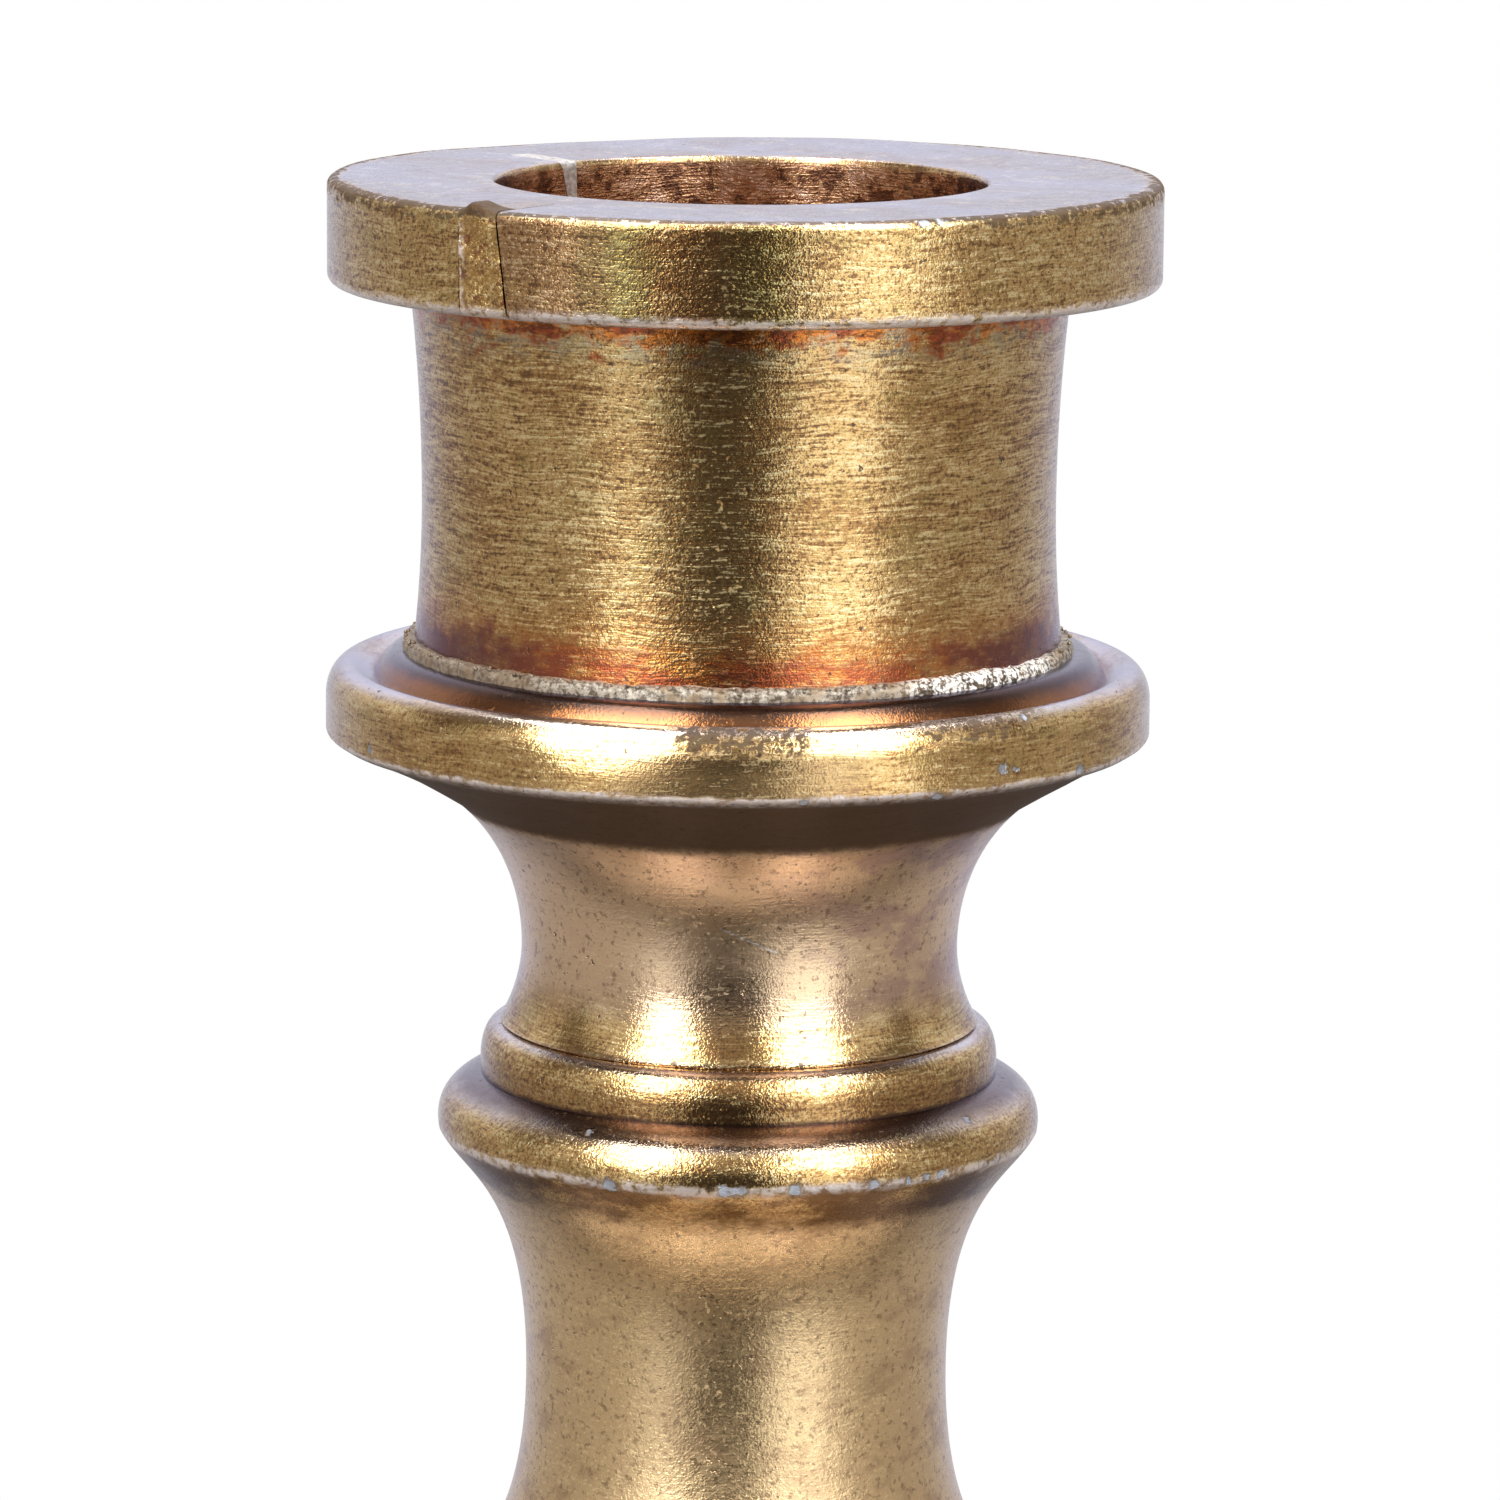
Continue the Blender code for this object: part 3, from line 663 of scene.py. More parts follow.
def rim_bend(radius, height, angle):
    """The rim's top dishes up a little towards the back and dips at the back left, as if once dropped."""
    share = np.clip((radius - 11.0 * MM) / (7.7 * MM), 0, 1)
    near_top = np.clip((height - (HEIGHT - 2.0 * MM)) / (2.0 * MM), 0, 1)
    aside = 0.19 * MM * np.sin(angle) * np.clip((radius - 15.5 * MM) / (1.5 * MM), 0, 1)
    rise = 0.21 * MM * share * (1 - np.cos(angle)) / 2
    dip = 0.16 * MM * share * np.exp(-((angle - math.radians(212)) / 0.45) ** 2)
    ragged = 0.02 * MM * np.sin(11 * angle + 1.3) * np.sin(5 * angle) * share
    return aside, (rise - dip + ragged) * near_top


def rim_points():
    s = sizes()
    bottom = HEIGHT - s.rim_height
    return outline(
        (RIM_SEAT, bottom), (RIM_SEAT, HEIGHT), (s.rim_radius, HEIGHT, s.edge_round * 1.5),
        (s.rim_radius, bottom, 0.45 * MM), spacing=0.25 * MM)


def rim_seam_angles(heights):
    """The rim seam's left and right angles at these heights. Its right side leans away towards the bottom."""
    s = sizes()
    down = (HEIGHT - heights) / s.rim_height
    left = RIM_SEAM - RIM_SEAM_HALF / s.rim_radius
    right = RIM_SEAM + (RIM_SEAM_HALF + RIM_SEAM_LEAN * down) / s.rim_radius
    return np.full_like(heights, left), right


def rim_tints(pad, place_mm, colour):
    """Films of pinkish brown and olive on the side, left of the front, and brown specks on top."""
    x, y = pad.split(place_mm)[:2]
    clouds = pad.noise(pad.stretch(place_mm, 0.4, 0.6), 1.0, 4.0, 0.6)
    side = pad.smooth(y, 0.0, -4.0) * pad.smooth(pad.up(), 0.7, 0.4)
    brown = pad.between(x, -10.5, -6.4, 1.5) * side * pad.smooth(clouds, 0.25, 0.50)
    colour = pad.mix(colour, (0.66, 0.56, 0.62), brown * 0.9, "MULTIPLY")
    olive = pad.between(x + (clouds - 0.5) * 3.0, -6.6, -4.6, 1.2) * side
    colour = pad.mix(colour, (0.58, 0.63, 0.50), olive * 0.95, "MULTIPLY")
    brown = pad.between(x + (clouds - 0.5) * 5.0, -3.4, -1.6, 1.6) * side
    colour = pad.mix(colour, (0.92, 0.72, 0.60), brown * 0.7, "MULTIPLY")
    green = pad.between(x + (clouds - 0.5) * 3.0, 0.1, 1.3, 1.2) * side
    colour = pad.mix(colour, (0.74, 0.80, 0.54), green * 0.6, "MULTIPLY")
    specks = pad.smooth(pad.noise(place_mm, 1.4, 4.0, 0.75), 0.56, 0.66) * pad.smooth(pad.up(), 0.8, 0.95)
    return pad.mix(colour, (0.30, 0.20, 0.15), specks * 0.55)


def rim_wear_and_sheen(pad, place_mm):
    """A pale line along the rim's lower edge: rubbed brass, and a painted reflection of the white surround."""
    z = pad.split(place_mm)[2]
    bottom = (HEIGHT - sizes().rim_height) / MM
    ragged = pad.noise(pad.stretch(place_mm, 0.5, 2.0), 1.0, 3.0, 0.6)
    return pad.smooth(z + (ragged - 0.5) * 0.7, bottom + 0.75, bottom + 0.10) * 0.9


def rim_bruise(pad, place_mm):
    """A dark bruised top edge: rough at both sides and a thin line at the front."""
    x, _, z = pad.split(place_mm)
    ragged = pad.noise(pad.stretch(place_mm, 0.6, 1.2), 1.0, 4.0, 0.65)
    fine = pad.noise(place_mm, 2.4, 4.0, 0.7)
    aside = pad.smooth(pad.absolute(x + 0.5), 7.5, 11.5)
    outer = sizes().rim_radius / MM
    radius = pad.radius(place_mm)
    near_edge = pad.smooth(radius + (fine - 0.5) * 0.6, outer - 1.0, outer - 0.5)
    deep = pad.smooth(z + (fine - 0.5) * 0.9, TOP_MM - 0.75, TOP_MM - 0.35)
    dark = deep * near_edge * aside * pad.smooth(ragged * 0.4 + fine * 0.6, 0.41, 0.56)
    thin = pad.smooth(z, TOP_MM - 0.16, TOP_MM - 0.08) * pad.smooth(radius, outer - 0.60, outer - 0.40)
    return dark + thin * pad.smooth(fine, 0.36, 0.48) * 0.8


def on_top(radius, height):
    """The top of the socket, where the edges are bruised, not rubbed pale and given no painted reflection."""
    return height > HEIGHT - 1.5 * MM


class CANDLESTICK_OT_rim(bpy.types.Operator):
    """Make the drip rim, open at its seam"""

    bl_idname = "candlestick.rim"
    bl_label = "Drip rim"

    def execute(self, context):
        def span(heights):
            left, right = rim_seam_angles(heights)
            return right, left + 2 * math.pi

        corner = (sizes().rim_radius - 0.08 * MM, HEIGHT - 0.1 * MM)
        marks = [(degrees, *corner, size * MM) for degrees, size in ((24.5, 0.3), (27.0, 0.36), (140, 0.3))]
        metal = brass_finish("rim_brass", rim_tints, rim_wear_and_sheen, rim_bruise, dull=-0.5, scratch=0.85, grit=1.3)
        rim = turned("drip_rim_finished", rim_points(), metal, span=span, nudge=rim_bend, marks=marks,
                     shift=sizes().socket_shift, plain_edges=on_top)
        place(rim, BODY, "cast_brass", "drip_rim")
        return {"FINISHED"}


def seam_tints(pad, place_mm, colour):
    """Orange brass with dark red spots."""
    ragged = pad.noise(place_mm, 1.5, 3.0, 0.6)
    colour = pad.mix(colour, (0.72, 0.42, 0.12), pad.smooth(ragged, 0.62, 0.40) * 0.5)
    return pad.mix(colour, (0.30, 0.07, 0.02), pad.smooth(ragged, 0.56, 0.64) * 0.7)


def seam_flux_and_sheen(pad, place_mm):
    """Pale flux down the seam's left side, and the rim's pale lower edge of rubbed brass and painted
    reflection.
    """
    x, _, z = pad.split(place_mm)
    ragged = pad.noise(place_mm, 1.8, 3.0, 0.65)
    left = -12.35
    flux = pad.smooth(x + (ragged - 0.5) * 0.6, left + 0.50, left + 0.15)
    flux = flux * pad.smooth(z, TOP_MM, TOP_MM - 0.5)
    return flux * 0.9 * pad.smooth(ragged, 0.36, 0.50) + rim_wear_and_sheen(pad, place_mm)


def seam_bruise(pad, place_mm):
    """The dark blob of braze at the seam's top."""
    z = pad.split(place_mm)[2]
    ragged = pad.noise(place_mm, 1.5, 3.0, 0.6)
    rim = sizes().rim_radius / MM
    outer = pad.smooth(pad.radius(place_mm), rim - 1.9, rim - 1.4)
    return pad.smooth(z + (ragged - 0.5), TOP_MM - 0.5, TOP_MM - 0.15) * outer


class CANDLESTICK_OT_rim_seam(bpy.types.Operator):
    """Fill the drip rim's seam with bumpy braze"""

    bl_idname = "candlestick.rim_seam"
    bl_label = "Rim seam braze"

    def execute(self, context):
        def bumps(radius, height, angle):
            out, up = rim_bend(radius, height, angle)
            lump = lumps(radius, height, angle, 0.9 * MM, 1)
            skin = radius > sizes().rim_radius - 0.5 * MM
            across = (angle - RIM_SEAM) * radius / RIM_SEAM_HALF
            blob = np.exp(-((across + 0.1) / 0.55) ** 2 - ((height - HEIGHT) / (0.7 * MM)) ** 2)
            blob = blob * np.clip((radius - sizes().rim_radius + 1.7 * MM) / (0.8 * MM), 0, 1)
            out = out + np.where(skin, 0.10 * MM * lump + 0.25 * MM * blob, 0)
            return out, up + 0.36 * MM * blob

        def span(heights):
            left, right = rim_seam_angles(heights)
            rim = sizes().rim_radius
            return left + 0.03 * MM / rim, right - 0.09 * MM / rim

        metal = brass_finish("seam_braze", seam_tints, seam_flux_and_sheen, seam_bruise,
                             dull=0.2, scratch=0.4, grit=2.2)
        braze = turned("rim_seam_braze_finished", rim_points(), metal, span=span, nudge=bumps,
                       shift=sizes().socket_shift, segments=48, plain_edges=on_top)
        place(braze, BODY, "braze", "rim_seam_braze")
        return {"FINISHED"}


def tube_points():
    """The tube's wall: bore, mouth, and an outside that is slightly waisted."""
    s = sizes()
    top = HEIGHT - s.rim_height + 0.2 * MM
    waist = HEIGHT - 14.4 * MM
    end = node_low("socket_tube")
    wall = []
    for i in range(61):
        height = top + (FOOT_OF_TUBE - top) * i / 60
        flare = 0.59 * MM if height > waist else 0.34 * MM
        reach = (height - waist) / ((top if height > waist else FOOT_OF_TUBE) - waist)
        wall.append((s.tube_waist + flare * reach ** 2, height))
    seat = SEAT_TOP - 0.4 * MM
    spigot = 12.9 * MM
    return outline(
        (s.bore_radius, end), (s.bore_radius, HEIGHT, 0.3 * MM), (RIM_SEAT, HEIGHT), (RIM_SEAT, top), *wall,
        (14.6 * MM, seat), (spigot, seat), (spigot, end))


def tube_seam_angles(heights):
    """The seam's two edges at these heights. It leans, and opens to a V at the mouth."""
    mouth_depth = 3.2 * MM
    wall_radius = 13.0 * MM
    near_mouth = np.clip((heights - (HEIGHT - mouth_depth)) / mouth_depth, 0, 1)
    half = (TUBE_SEAM_HALF + 0.36 * MM * near_mouth ** 1.5) / wall_radius
    middle = TUBE_SEAM - 0.55 * MM * (1 - near_mouth) / wall_radius
    return middle - half, middle + half


def tube_tints(pad, place_mm, colour):
    """Heat colours under the rim and round the tube's foot, and a brown bore."""
    shade = colours()
    orange, red, blue = (tuple(heat) for heat in (shade.heat_orange, shade.heat_red, shade.heat_blue))
    x, _, z = pad.split(place_mm)
    clouds = pad.noise(pad.stretch(place_mm, 0.40, 0.9), 1.0, 4.0, 0.65)
    other = pad.noise(pad.stretch(place_mm, 0.55, 1.3), 1.7, 4.0, 0.6)
    edge = pad.noise(pad.stretch(place_mm, 0.8, 0.8), 1.0, 4.0, 0.65)
    top = (HEIGHT - sizes().rim_height) / MM
    outside = pad.smooth(z, top + 0.3, top)
    near_rim = pad.smooth(z + (edge - 0.5) * 3.5, top - 2.6, top - 0.8) * outside
    colour = pad.mix(colour, blue, near_rim * pad.smooth(other, 0.42, 0.56) * 0.45)
    under_rim = pad.smooth(z + (edge - 0.5) * 4.0 + (clouds - 0.5) * 3.0, top - 1.5, top - 0.5) * outside
    colour = pad.mix(colour, orange, under_rim * pad.smooth(other, 0.72, 0.50) * 0.95)
    colour = pad.mix(colour, red, under_rim * pad.smooth(clouds, 0.50, 0.60) * 0.85)
    colour = pad.mix(colour, (0.10, 0.04, 0.01), under_rim * pad.between(other, 0.44, 0.48, 0.03) * 0.7)
    foot = FOOT_OF_TUBE / MM
    warm = pad.smooth(z + (edge - 0.5) * 3.0, foot + 4.2, foot + 0.8)
    colour = pad.mix(colour, (0.66, 0.26, 0.05), warm * 0.45)
    near_foot = pad.smooth(z + (edge - 0.5) * 4.0, foot + 2.4, foot + 0.7)
    colour = pad.mix(colour, orange, near_foot * pad.smooth(other, 0.36, 0.6) * 0.6)
    colour = pad.mix(colour, red, near_foot * pad.smooth(clouds, 0.38, 0.56) * 0.8)
    side = pad.smooth(pad.absolute(x), 6.0, 13.0)
    colour = pad.mix(colour, (0.13, 0.06, 0.07), near_foot * side * 0.7)
    inside = pad.smooth(pad.radius(place_mm), 12.3, 11.6) * pad.smooth(z, TOP_MM - 0.05, TOP_MM - 0.5)
    colour = pad.mix(colour, (0.62, 0.34, 0.19), inside * 0.85)
    blotch = pad.noise(place_mm, 0.75, 5.0, 0.7)
    colour = pad.mix(colour, (0.95, 0.66, 0.50), inside * pad.smooth(blotch, 0.52, 0.60) * 0.6)
    return pad.mix(colour, (0.14, 0.05, 0.025), inside * pad.smooth(blotch, 0.49, 0.42) * 0.85)


class CANDLESTICK_OT_tube(bpy.types.Operator):
    """Make the socket tube and the solder in its seam"""

    bl_idname = "candlestick.tube"
    bl_label = "Socket tube"

    def execute(self, context):
        def span(heights):
            left, right = tube_seam_angles(heights)
            return right, left + 2 * math.pi

        shift = sizes().socket_shift
        brass = brass_finish("tube_brass", tube_tints)
        tube = turned("socket_tube_finished", tube_points(), brass, span=span, nudge=rim_bend, shift=shift,
                      plain_edges=on_top)
        place(tube, BODY, "cast_brass", "socket_tube")
        metal = simple_finish("seam_solder", colours().solder, 0.35)
        solder = turned("tube_seam_solder_finished", tube_points(), metal, span=tube_seam_angles,
                        nudge=rim_bend, shift=shift, segments=8)
        place(solder, BODY, "solder", "tube_seam_solder")
        return {"FINISHED"}


def bead_finish():
    """Crusty braze: pale grains, dirt between them, and whitish flux left at the right of the front."""
    material, pad = new_pad("bead_braze")
    place_mm = pad.place()
    x, y = pad.split(place_mm)[:2]
    crust = pad.noise(place_mm, 3.6, 4.0, 0.75)
    spots = pad.noise(place_mm, 0.9, 3.0, 0.6)
    colour = pad.mix((0.10, 0.07, 0.045), tuple(colours().braze), pad.smooth(crust, 0.40, 0.62))
    colour = pad.mix(colour, (0.30, 0.21, 0.12), pad.smooth(spots, 0.48, 0.62) * 0.7)
    colour = pad.mix(colour, (0.20, 0.14, 0.09), pad.smooth(x, -7.0, -11.0) * 0.6)
    flux = pad.smooth(x, 6.0, 9.0) * pad.smooth(y, -4.0, -7.0) * pad.smooth(crust, 0.46, 0.52)
    colour = pad.mix(colour, (0.98, 0.96, 0.92), flux * 0.9)
    values = {
        "Base Color": colour,
        "Metallic": 0.5 - 0.4 * flux,
        "Roughness": 0.40 + 0.3 * crust,
        "Coat Weight": 0.2,
    }
    surface(pad, values, crust, 0.03 * MM)
    return material


def bead_tree(material):
    """Geometry Nodes: grains of several sizes scattered round a ring."""
    pad, given = geometry_tree("braze_grains", {
        "Grains": 1300, "Radius": 14.9 * MM, "Height": 159.0 * MM, "Width": 0.6 * MM, "Grain size": 0.1 * MM,
        "Seed": 4})
    circle = pad.add("GeometryNodeMeshCircle", None, {"Vertices": given["Grains"], "Radius": given["Radius"]})
    seed = given["Seed"]
    drift = pad.random("FLOAT_VECTOR", (-1, -1, -1), (1, 1, 1), seed)
    reach = pad.add("ShaderNodeVectorMath", {"operation": "SCALE"}, {0: drift, "Scale": given["Width"]})
    lift = pad.add("ShaderNodeCombineXYZ", None, {"Z": given["Height"]})
    moved = pad.add("ShaderNodeVectorMath", {"operation": "ADD"}, {0: reach, 1: lift})
    spots = pad.add("GeometryNodeSetPosition", None, {"Geometry": circle, "Offset": moved})
    grain = pad.add("GeometryNodeMeshIcoSphere", None, {"Radius": given["Grain size"], "Subdivisions": 1})
    scale = pad.random("FLOAT", 0.5, 1.9, seed)
    turn = pad.random("FLOAT_VECTOR", (0, 0, 0), (6.28, 6.28, 6.28), seed)
    placed = pad.add("GeometryNodeInstanceOnPoints", None,
                     {"Points": spots, "Instance": grain, "Rotation": turn, "Scale": scale})
    return pad.finish(placed, material)


class CANDLESTICK_OT_bead(bpy.types.Operator):
    """Make the braze bead round the tube's foot, and its grains"""

    bl_idname = "candlestick.bead"
    bl_label = "Braze bead"

    def execute(self, context):
        s = sizes()
        metal = bead_finish()

        def bumps(radius, height, angle):
            lump = lumps(radius, height, angle, 0.5 * MM, 2) + lumps(radius, height, angle, 1.6 * MM, 5)
            flux = np.exp(-((np.degrees(angle) - 41) / 9) ** 2)
            return 0.09 * MM * lump + 0.10 * MM * flux, 0.08 * MM * lump + 0.12 * MM * flux

        inner = 14.3 * MM
        foot = SEAT_TOP - 0.6 * MM
        points = outline(
            (inner, foot), (15.16 * MM, foot), *arc((14.72 * MM, SEAT_TOP - 0.15 * MM), 0.38 * MM, 0, 80, 8),
            (inner, SEAT_TOP + 0.26 * MM), spacing=0.15 * MM)
        bead = turned("socket_braze_bead_finished", points, metal, nudge=bumps, shift=s.socket_shift)
        place(bead, BODY, "braze", "socket_braze_bead")
        grains = run_tree("socket_braze_grains", bead_tree(metal), {
            "Grains": s.bead_grains, "Radius": 14.86 * MM, "Height": SEAT_TOP + 0.06 * MM, "Width": 0.17 * MM,
            "Grain size": 0.062 * MM, "Seed": 7}, metal)
        grains.data.transform(Matrix.Translation((s.socket_shift, 0, 0)))
        place(grains, BODY, "braze")
        return {"FINISHED"}


# ---------------------------------------------------------------------------------------------------------
# Neck and stem
# ---------------------------------------------------------------------------------------------------------

TENON_RADIUS = 5.0 * MM
SOCKET_RADIUS = 5.1 * MM
LOOSE_HOLE_RADIUS = 5.2 * MM
ROD_HOLE_RADIUS = 2.4 * MM
NECK_FOOT = HEIGHT - 38.3 * MM
REEL_TOP = node_high("stem_reel")
REEL_WAIST = (node_high("upper_fillet_ring") + node_low("lower_fillet_ring")) / 2
FLANGE_RADIUS = node_radius("neck_casting")
FLANGE_TOP = HEIGHT - 21.77 * MM
FLANGE_EDGE = HEIGHT - 24.88 * MM
FLANGE_ROUND = 1.0 * MM
SCOTIA_TURN = 13.05 * MM
NECK_WAIST = 9.9 * MM
KNOP_EDGE = HEIGHT - 43.19 * MM
KNOP_REACH = (KNOP_EDGE - REEL_WAIST) / MM
REEL_REACH = (REEL_TOP - REEL_WAIST) / MM


def joint_points(bottom, node, socket_node, top):
    """The hidden tenon under a stem piece, its rod hole, and the socket in its top for the next tenon up."""
    tenon_end, socket_floor = node_low(node), node_low(socket_node)
    return [(TENON_RADIUS, bottom), (TENON_RADIUS, tenon_end), (ROD_HOLE_RADIUS, tenon_end),
            (ROD_HOLE_RADIUS, socket_floor), (SOCKET_RADIUS, socket_floor), (SOCKET_RADIUS, top)]


def neck_points():
    """The flange's grooved top and straight side, and the scotia below it."""
    top, edge = FLANGE_TOP, FLANGE_EDGE
    socket = 12.95 * MM
    shoulder = [
        (FLANGE_RADIUS + FLANGE_ROUND * (math.cos(t) - 1), top + 1.45 * FLANGE_ROUND * (math.sin(t) - 1))
        for t in np.linspace(math.radians(105), 0, 18)]
    turn = (SCOTIA_TURN, edge - 2.96 * MM)
    waist = (NECK_WAIST, edge - 9.92 * MM)
    low, floor = node_low("neck_casting"), HEIGHT - 23.4 * MM
    return outline(
        (socket, SEAT_TOP - 0.35 * MM), (15.0 * MM, SEAT_TOP - 0.32 * MM),
        *sweep((15.4 * MM, SEAT_TOP - 0.36 * MM), (15.95 * MM, SEAT_TOP - 0.42 * MM),
               (16.25 * MM, top - 0.05 * MM), (16.5 * MM, top - 0.45 * MM), 10),
        (16.75 * MM, top - 0.35 * MM), *shoulder,
        (FLANGE_RADIUS, edge, 0.3 * MM), (FLANGE_RADIUS - 0.46 * MM, edge - 0.29 * MM, 0.1 * MM),
        *sweep((FLANGE_RADIUS - 0.7 * MM, edge - 0.37 * MM), (17.2 * MM, edge - 0.6 * MM),
               (15.60 * MM, edge - 1.37 * MM), turn),
        *sweep(turn, (10.40 * MM, edge - 5.15 * MM), (NECK_WAIST, edge - 8.15 * MM), waist)[1:],
        *sweep(waist, (NECK_WAIST, edge - 11.43 * MM), (10.59 * MM, edge - 13.05 * MM),
               (10.88 * MM, edge - 13.34 * MM))[1:],
        (10.80 * MM, NECK_FOOT),
        hidden=[(TENON_RADIUS, NECK_FOOT), (TENON_RADIUS, low), (ROD_HOLE_RADIUS, low),
                (ROD_HOLE_RADIUS, floor), (socket, floor)], spacing=0.3 * MM)


def flange_bend(radius, height, angle):
    """The flange stands a little off the axis, and its shoulder is rubbed flat at the front left."""
    outer = np.clip((radius - 15.5 * MM) / (1.5 * MM), 0, 1)
    degrees = (np.degrees(angle) + 180) % 360 - 180
    near_top = np.clip((height - (HEIGHT - 23.9 * MM)) / (1.6 * MM), 0, 1)
    flat = np.exp(-((degrees + 19) / 10) ** 2) * near_top
    return (-0.16 * MM * np.sin(angle) - 0.30 * MM * flat) * outer, np.zeros_like(radius)


def flange_middle(pad, x, y, z):
    """1 on the middle of the flange's side, at the front."""
    across = pad.between(x, -4.6, 4.6, 1.5) * pad.smooth(y, 0.0, -2.0)
    return across * pad.between(z, TOP_MM - 24.8, TOP_MM - 22.9, 0.4)


def neck_tints_and_shade(pad, place_mm, colour):
    """A dark rusty cove outside the bead with painted shade in its corner by the bead, a brown flange with a
    band of painted shade under it, and a dull scotia.
    """
    x, y, z = pad.split(place_mm)
    radius = pad.radius(place_mm)
    clouds = pad.noise(pad.stretch(place_mm, 0.3, 0.5), 1.0, 4.0, 0.6)
    edge = pad.noise(place_mm, 0.9, 3.0, 0.6)
    flange_top = FLANGE_TOP / MM
    cove = pad.smooth(radius + edge * 0.4, 17.1, 16.7) * pad.smooth(z, flange_top - 1.0, flange_top - 0.6)
    colour = pad.mix(colour, (0.34, 0.12, 0.03), cove * 0.97)
    # Painted shade: darker still in the cove's corner next to the bead.
    deep = cove * pad.smooth(radius + (edge - 0.5) * 0.3, 16.35, 15.85)
    colour = pad.mix(colour, (0.05, 0.02, 0.01), deep * 0.92)
    below = flange_top - 3.4
    scotia = pad.smooth(z + edge * 0.8, below, below - 1.2)
    dull = scotia * pad.smooth(z + edge, below - 11.6, below - 9.5)
    colour = pad.mix(colour, (1.0, 0.74, 0.50), dull * 0.8)
    right = pad.smooth(x, 0.0, 6.0)
    colour = pad.mix(colour, (0.50, 0.30, 0.28), dull * pad.smooth(clouds, 0.46, 0.60) * (0.10 + 0.5 * right))
    speckle = pad.smooth(pad.noise(place_mm, 3.0, 3.0, 0.7), 0.56, 0.66)
    colour = pad.mix(colour, (0.22, 0.12, 0.07), dull * speckle * 0.6)
    from_scratch = pad.absolute(z + x * 0.46 - (TOP_MM - 32.45))
    scratch = pad.smooth(from_scratch + (edge - 0.5) * 0.05, 0.06, 0.03)
    scratch = scratch * pad.between(x, -0.6, 1.5, 0.3) * pad.smooth(y, 0, -1)
    colour = pad.mix(colour, (1.0, 0.96, 0.92), scratch * 0.8)
    colour = pad.mix(colour, (0.66, 0.44, 0.24), flange_middle(pad, x, y, z) * 0.35)
    # Painted shade: a dark band under the flange.
    under = pad.between(z + edge * 0.6, below - 2.4, below + 0.2, 0.8)
    return pad.mix(colour, (0.20, 0.09, 0.022), under * 0.92)


def neck_wear_and_sheen(pad, place_mm):
    """A pale line along the flange's lower edge: rubbed brass, and a painted reflection of the white surround.
    """
    z = pad.split(place_mm)[2]
    ragged = pad.noise(pad.stretch(place_mm, 0.5, 2.0), 1.0, 3.0, 0.6)
    low = FLANGE_EDGE / MM
    outer = pad.smooth(pad.radius(place_mm), FLANGE_RADIUS / MM - 0.9, FLANGE_RADIUS / MM - 0.6)
    return pad.between(z + (ragged - 0.5) * 0.6, low - 0.25, low + 0.02, 0.28) * outer * 0.85


def neck_bruise_and_shade(pad, place_mm):
    """Dark bruises on the flange's crest, in the middle and right of its highlights, and painted shade under
    the flange.
    """
    x, y, z = pad.split(place_mm)
    fine = pad.noise(place_mm, 1.9, 3.0, 0.7)
    crest = pad.smooth(pad.radius(place_mm) + (fine - 0.5) * 0.5, 16.7, 17.1)
    crest = crest * pad.smooth(z + (fine - 0.5) * 1.6, TOP_MM - 23.0, TOP_MM - 22.5)
    across = x + (fine - 0.5) * 3.0
    right = pad.smooth(across, 7.3, 8.3) * pad.smooth(across, 15.5, 12.0) * 0.9
    where = (pad.between(across, -2.2, 2.7, 0.8) + right) * pad.smooth(y, 0.0, -2.0)
    below = TOP_MM - 25.2
    # Painted shade under the flange.
    under = pad.between(z + fine * 0.6, below - 2.4, below + 0.2, 0.8) * 0.85
    return crest * where * pad.smooth(fine, 0.42, 0.54) + under


def neck_shine(pad, place_mm):
    """The flange and the foot of the scotia are polished. The flange's middle and the waist are dull."""
    x, y, z = pad.split(place_mm)
    foot = pad.smooth(z, TOP_MM - 34.2, TOP_MM - 36.6) * 0.13
    crest = pad.smooth(z, TOP_MM - 24.0, TOP_MM - 23.0) * 0.06
    side = pad.smooth(z, TOP_MM - 25.5, TOP_MM - 24.9) * 0.06
    middle = flange_middle(pad, x, y, z) * 0.10
    waist = pad.between(z, TOP_MM - 33.5, TOP_MM - 27.0, 1.0) * 0.07
    return foot + crest + side - 0.04 - middle - waist


def neck_plain_edges(radius, height):
    """The flange's crest and the neck's foot."""
    return (height > HEIGHT - 24.2 * MM) | (radius < 11.5 * MM)


class CANDLESTICK_OT_neck(bpy.types.Operator):
    """Make the neck with its flange"""

    bl_idname = "candlestick.neck"
    bl_label = "Neck"

    def execute(self, context):
        low = HEIGHT - 24.95 * MM
        marks = [(degrees, FLANGE_RADIUS - inwards * MM, low + up * MM, size * MM)
                 for degrees, inwards, up, size in (
                     (38, 0, 0.95, 0.36), (40.5, 0, 0.8, 0.25), (54, 0, 0.25, 0.45), (27.7, 0.1, 0, 0.35),
                     (8.6, 0.1, 0, 0.28), (43, 0.5, 2.9, 0.32), (-61, 0, 0.6, 0.3), (118, 0.1, 0, 0.4),
                     (-142, 0.5, 2.9, 0.4))]
        metal = brass_finish("neck_brass", neck_tints_and_shade, neck_wear_and_sheen, neck_bruise_and_shade, neck_shine,
                             scratch=0.7, grit=0.8)
        neck = turned("neck_casting_finished", neck_points(), metal, nudge=flange_bend, marks=marks,
                      plain_edges=neck_plain_edges)
        place(neck, BODY, "cast_brass", "neck_casting")
        return {"FINISHED"}


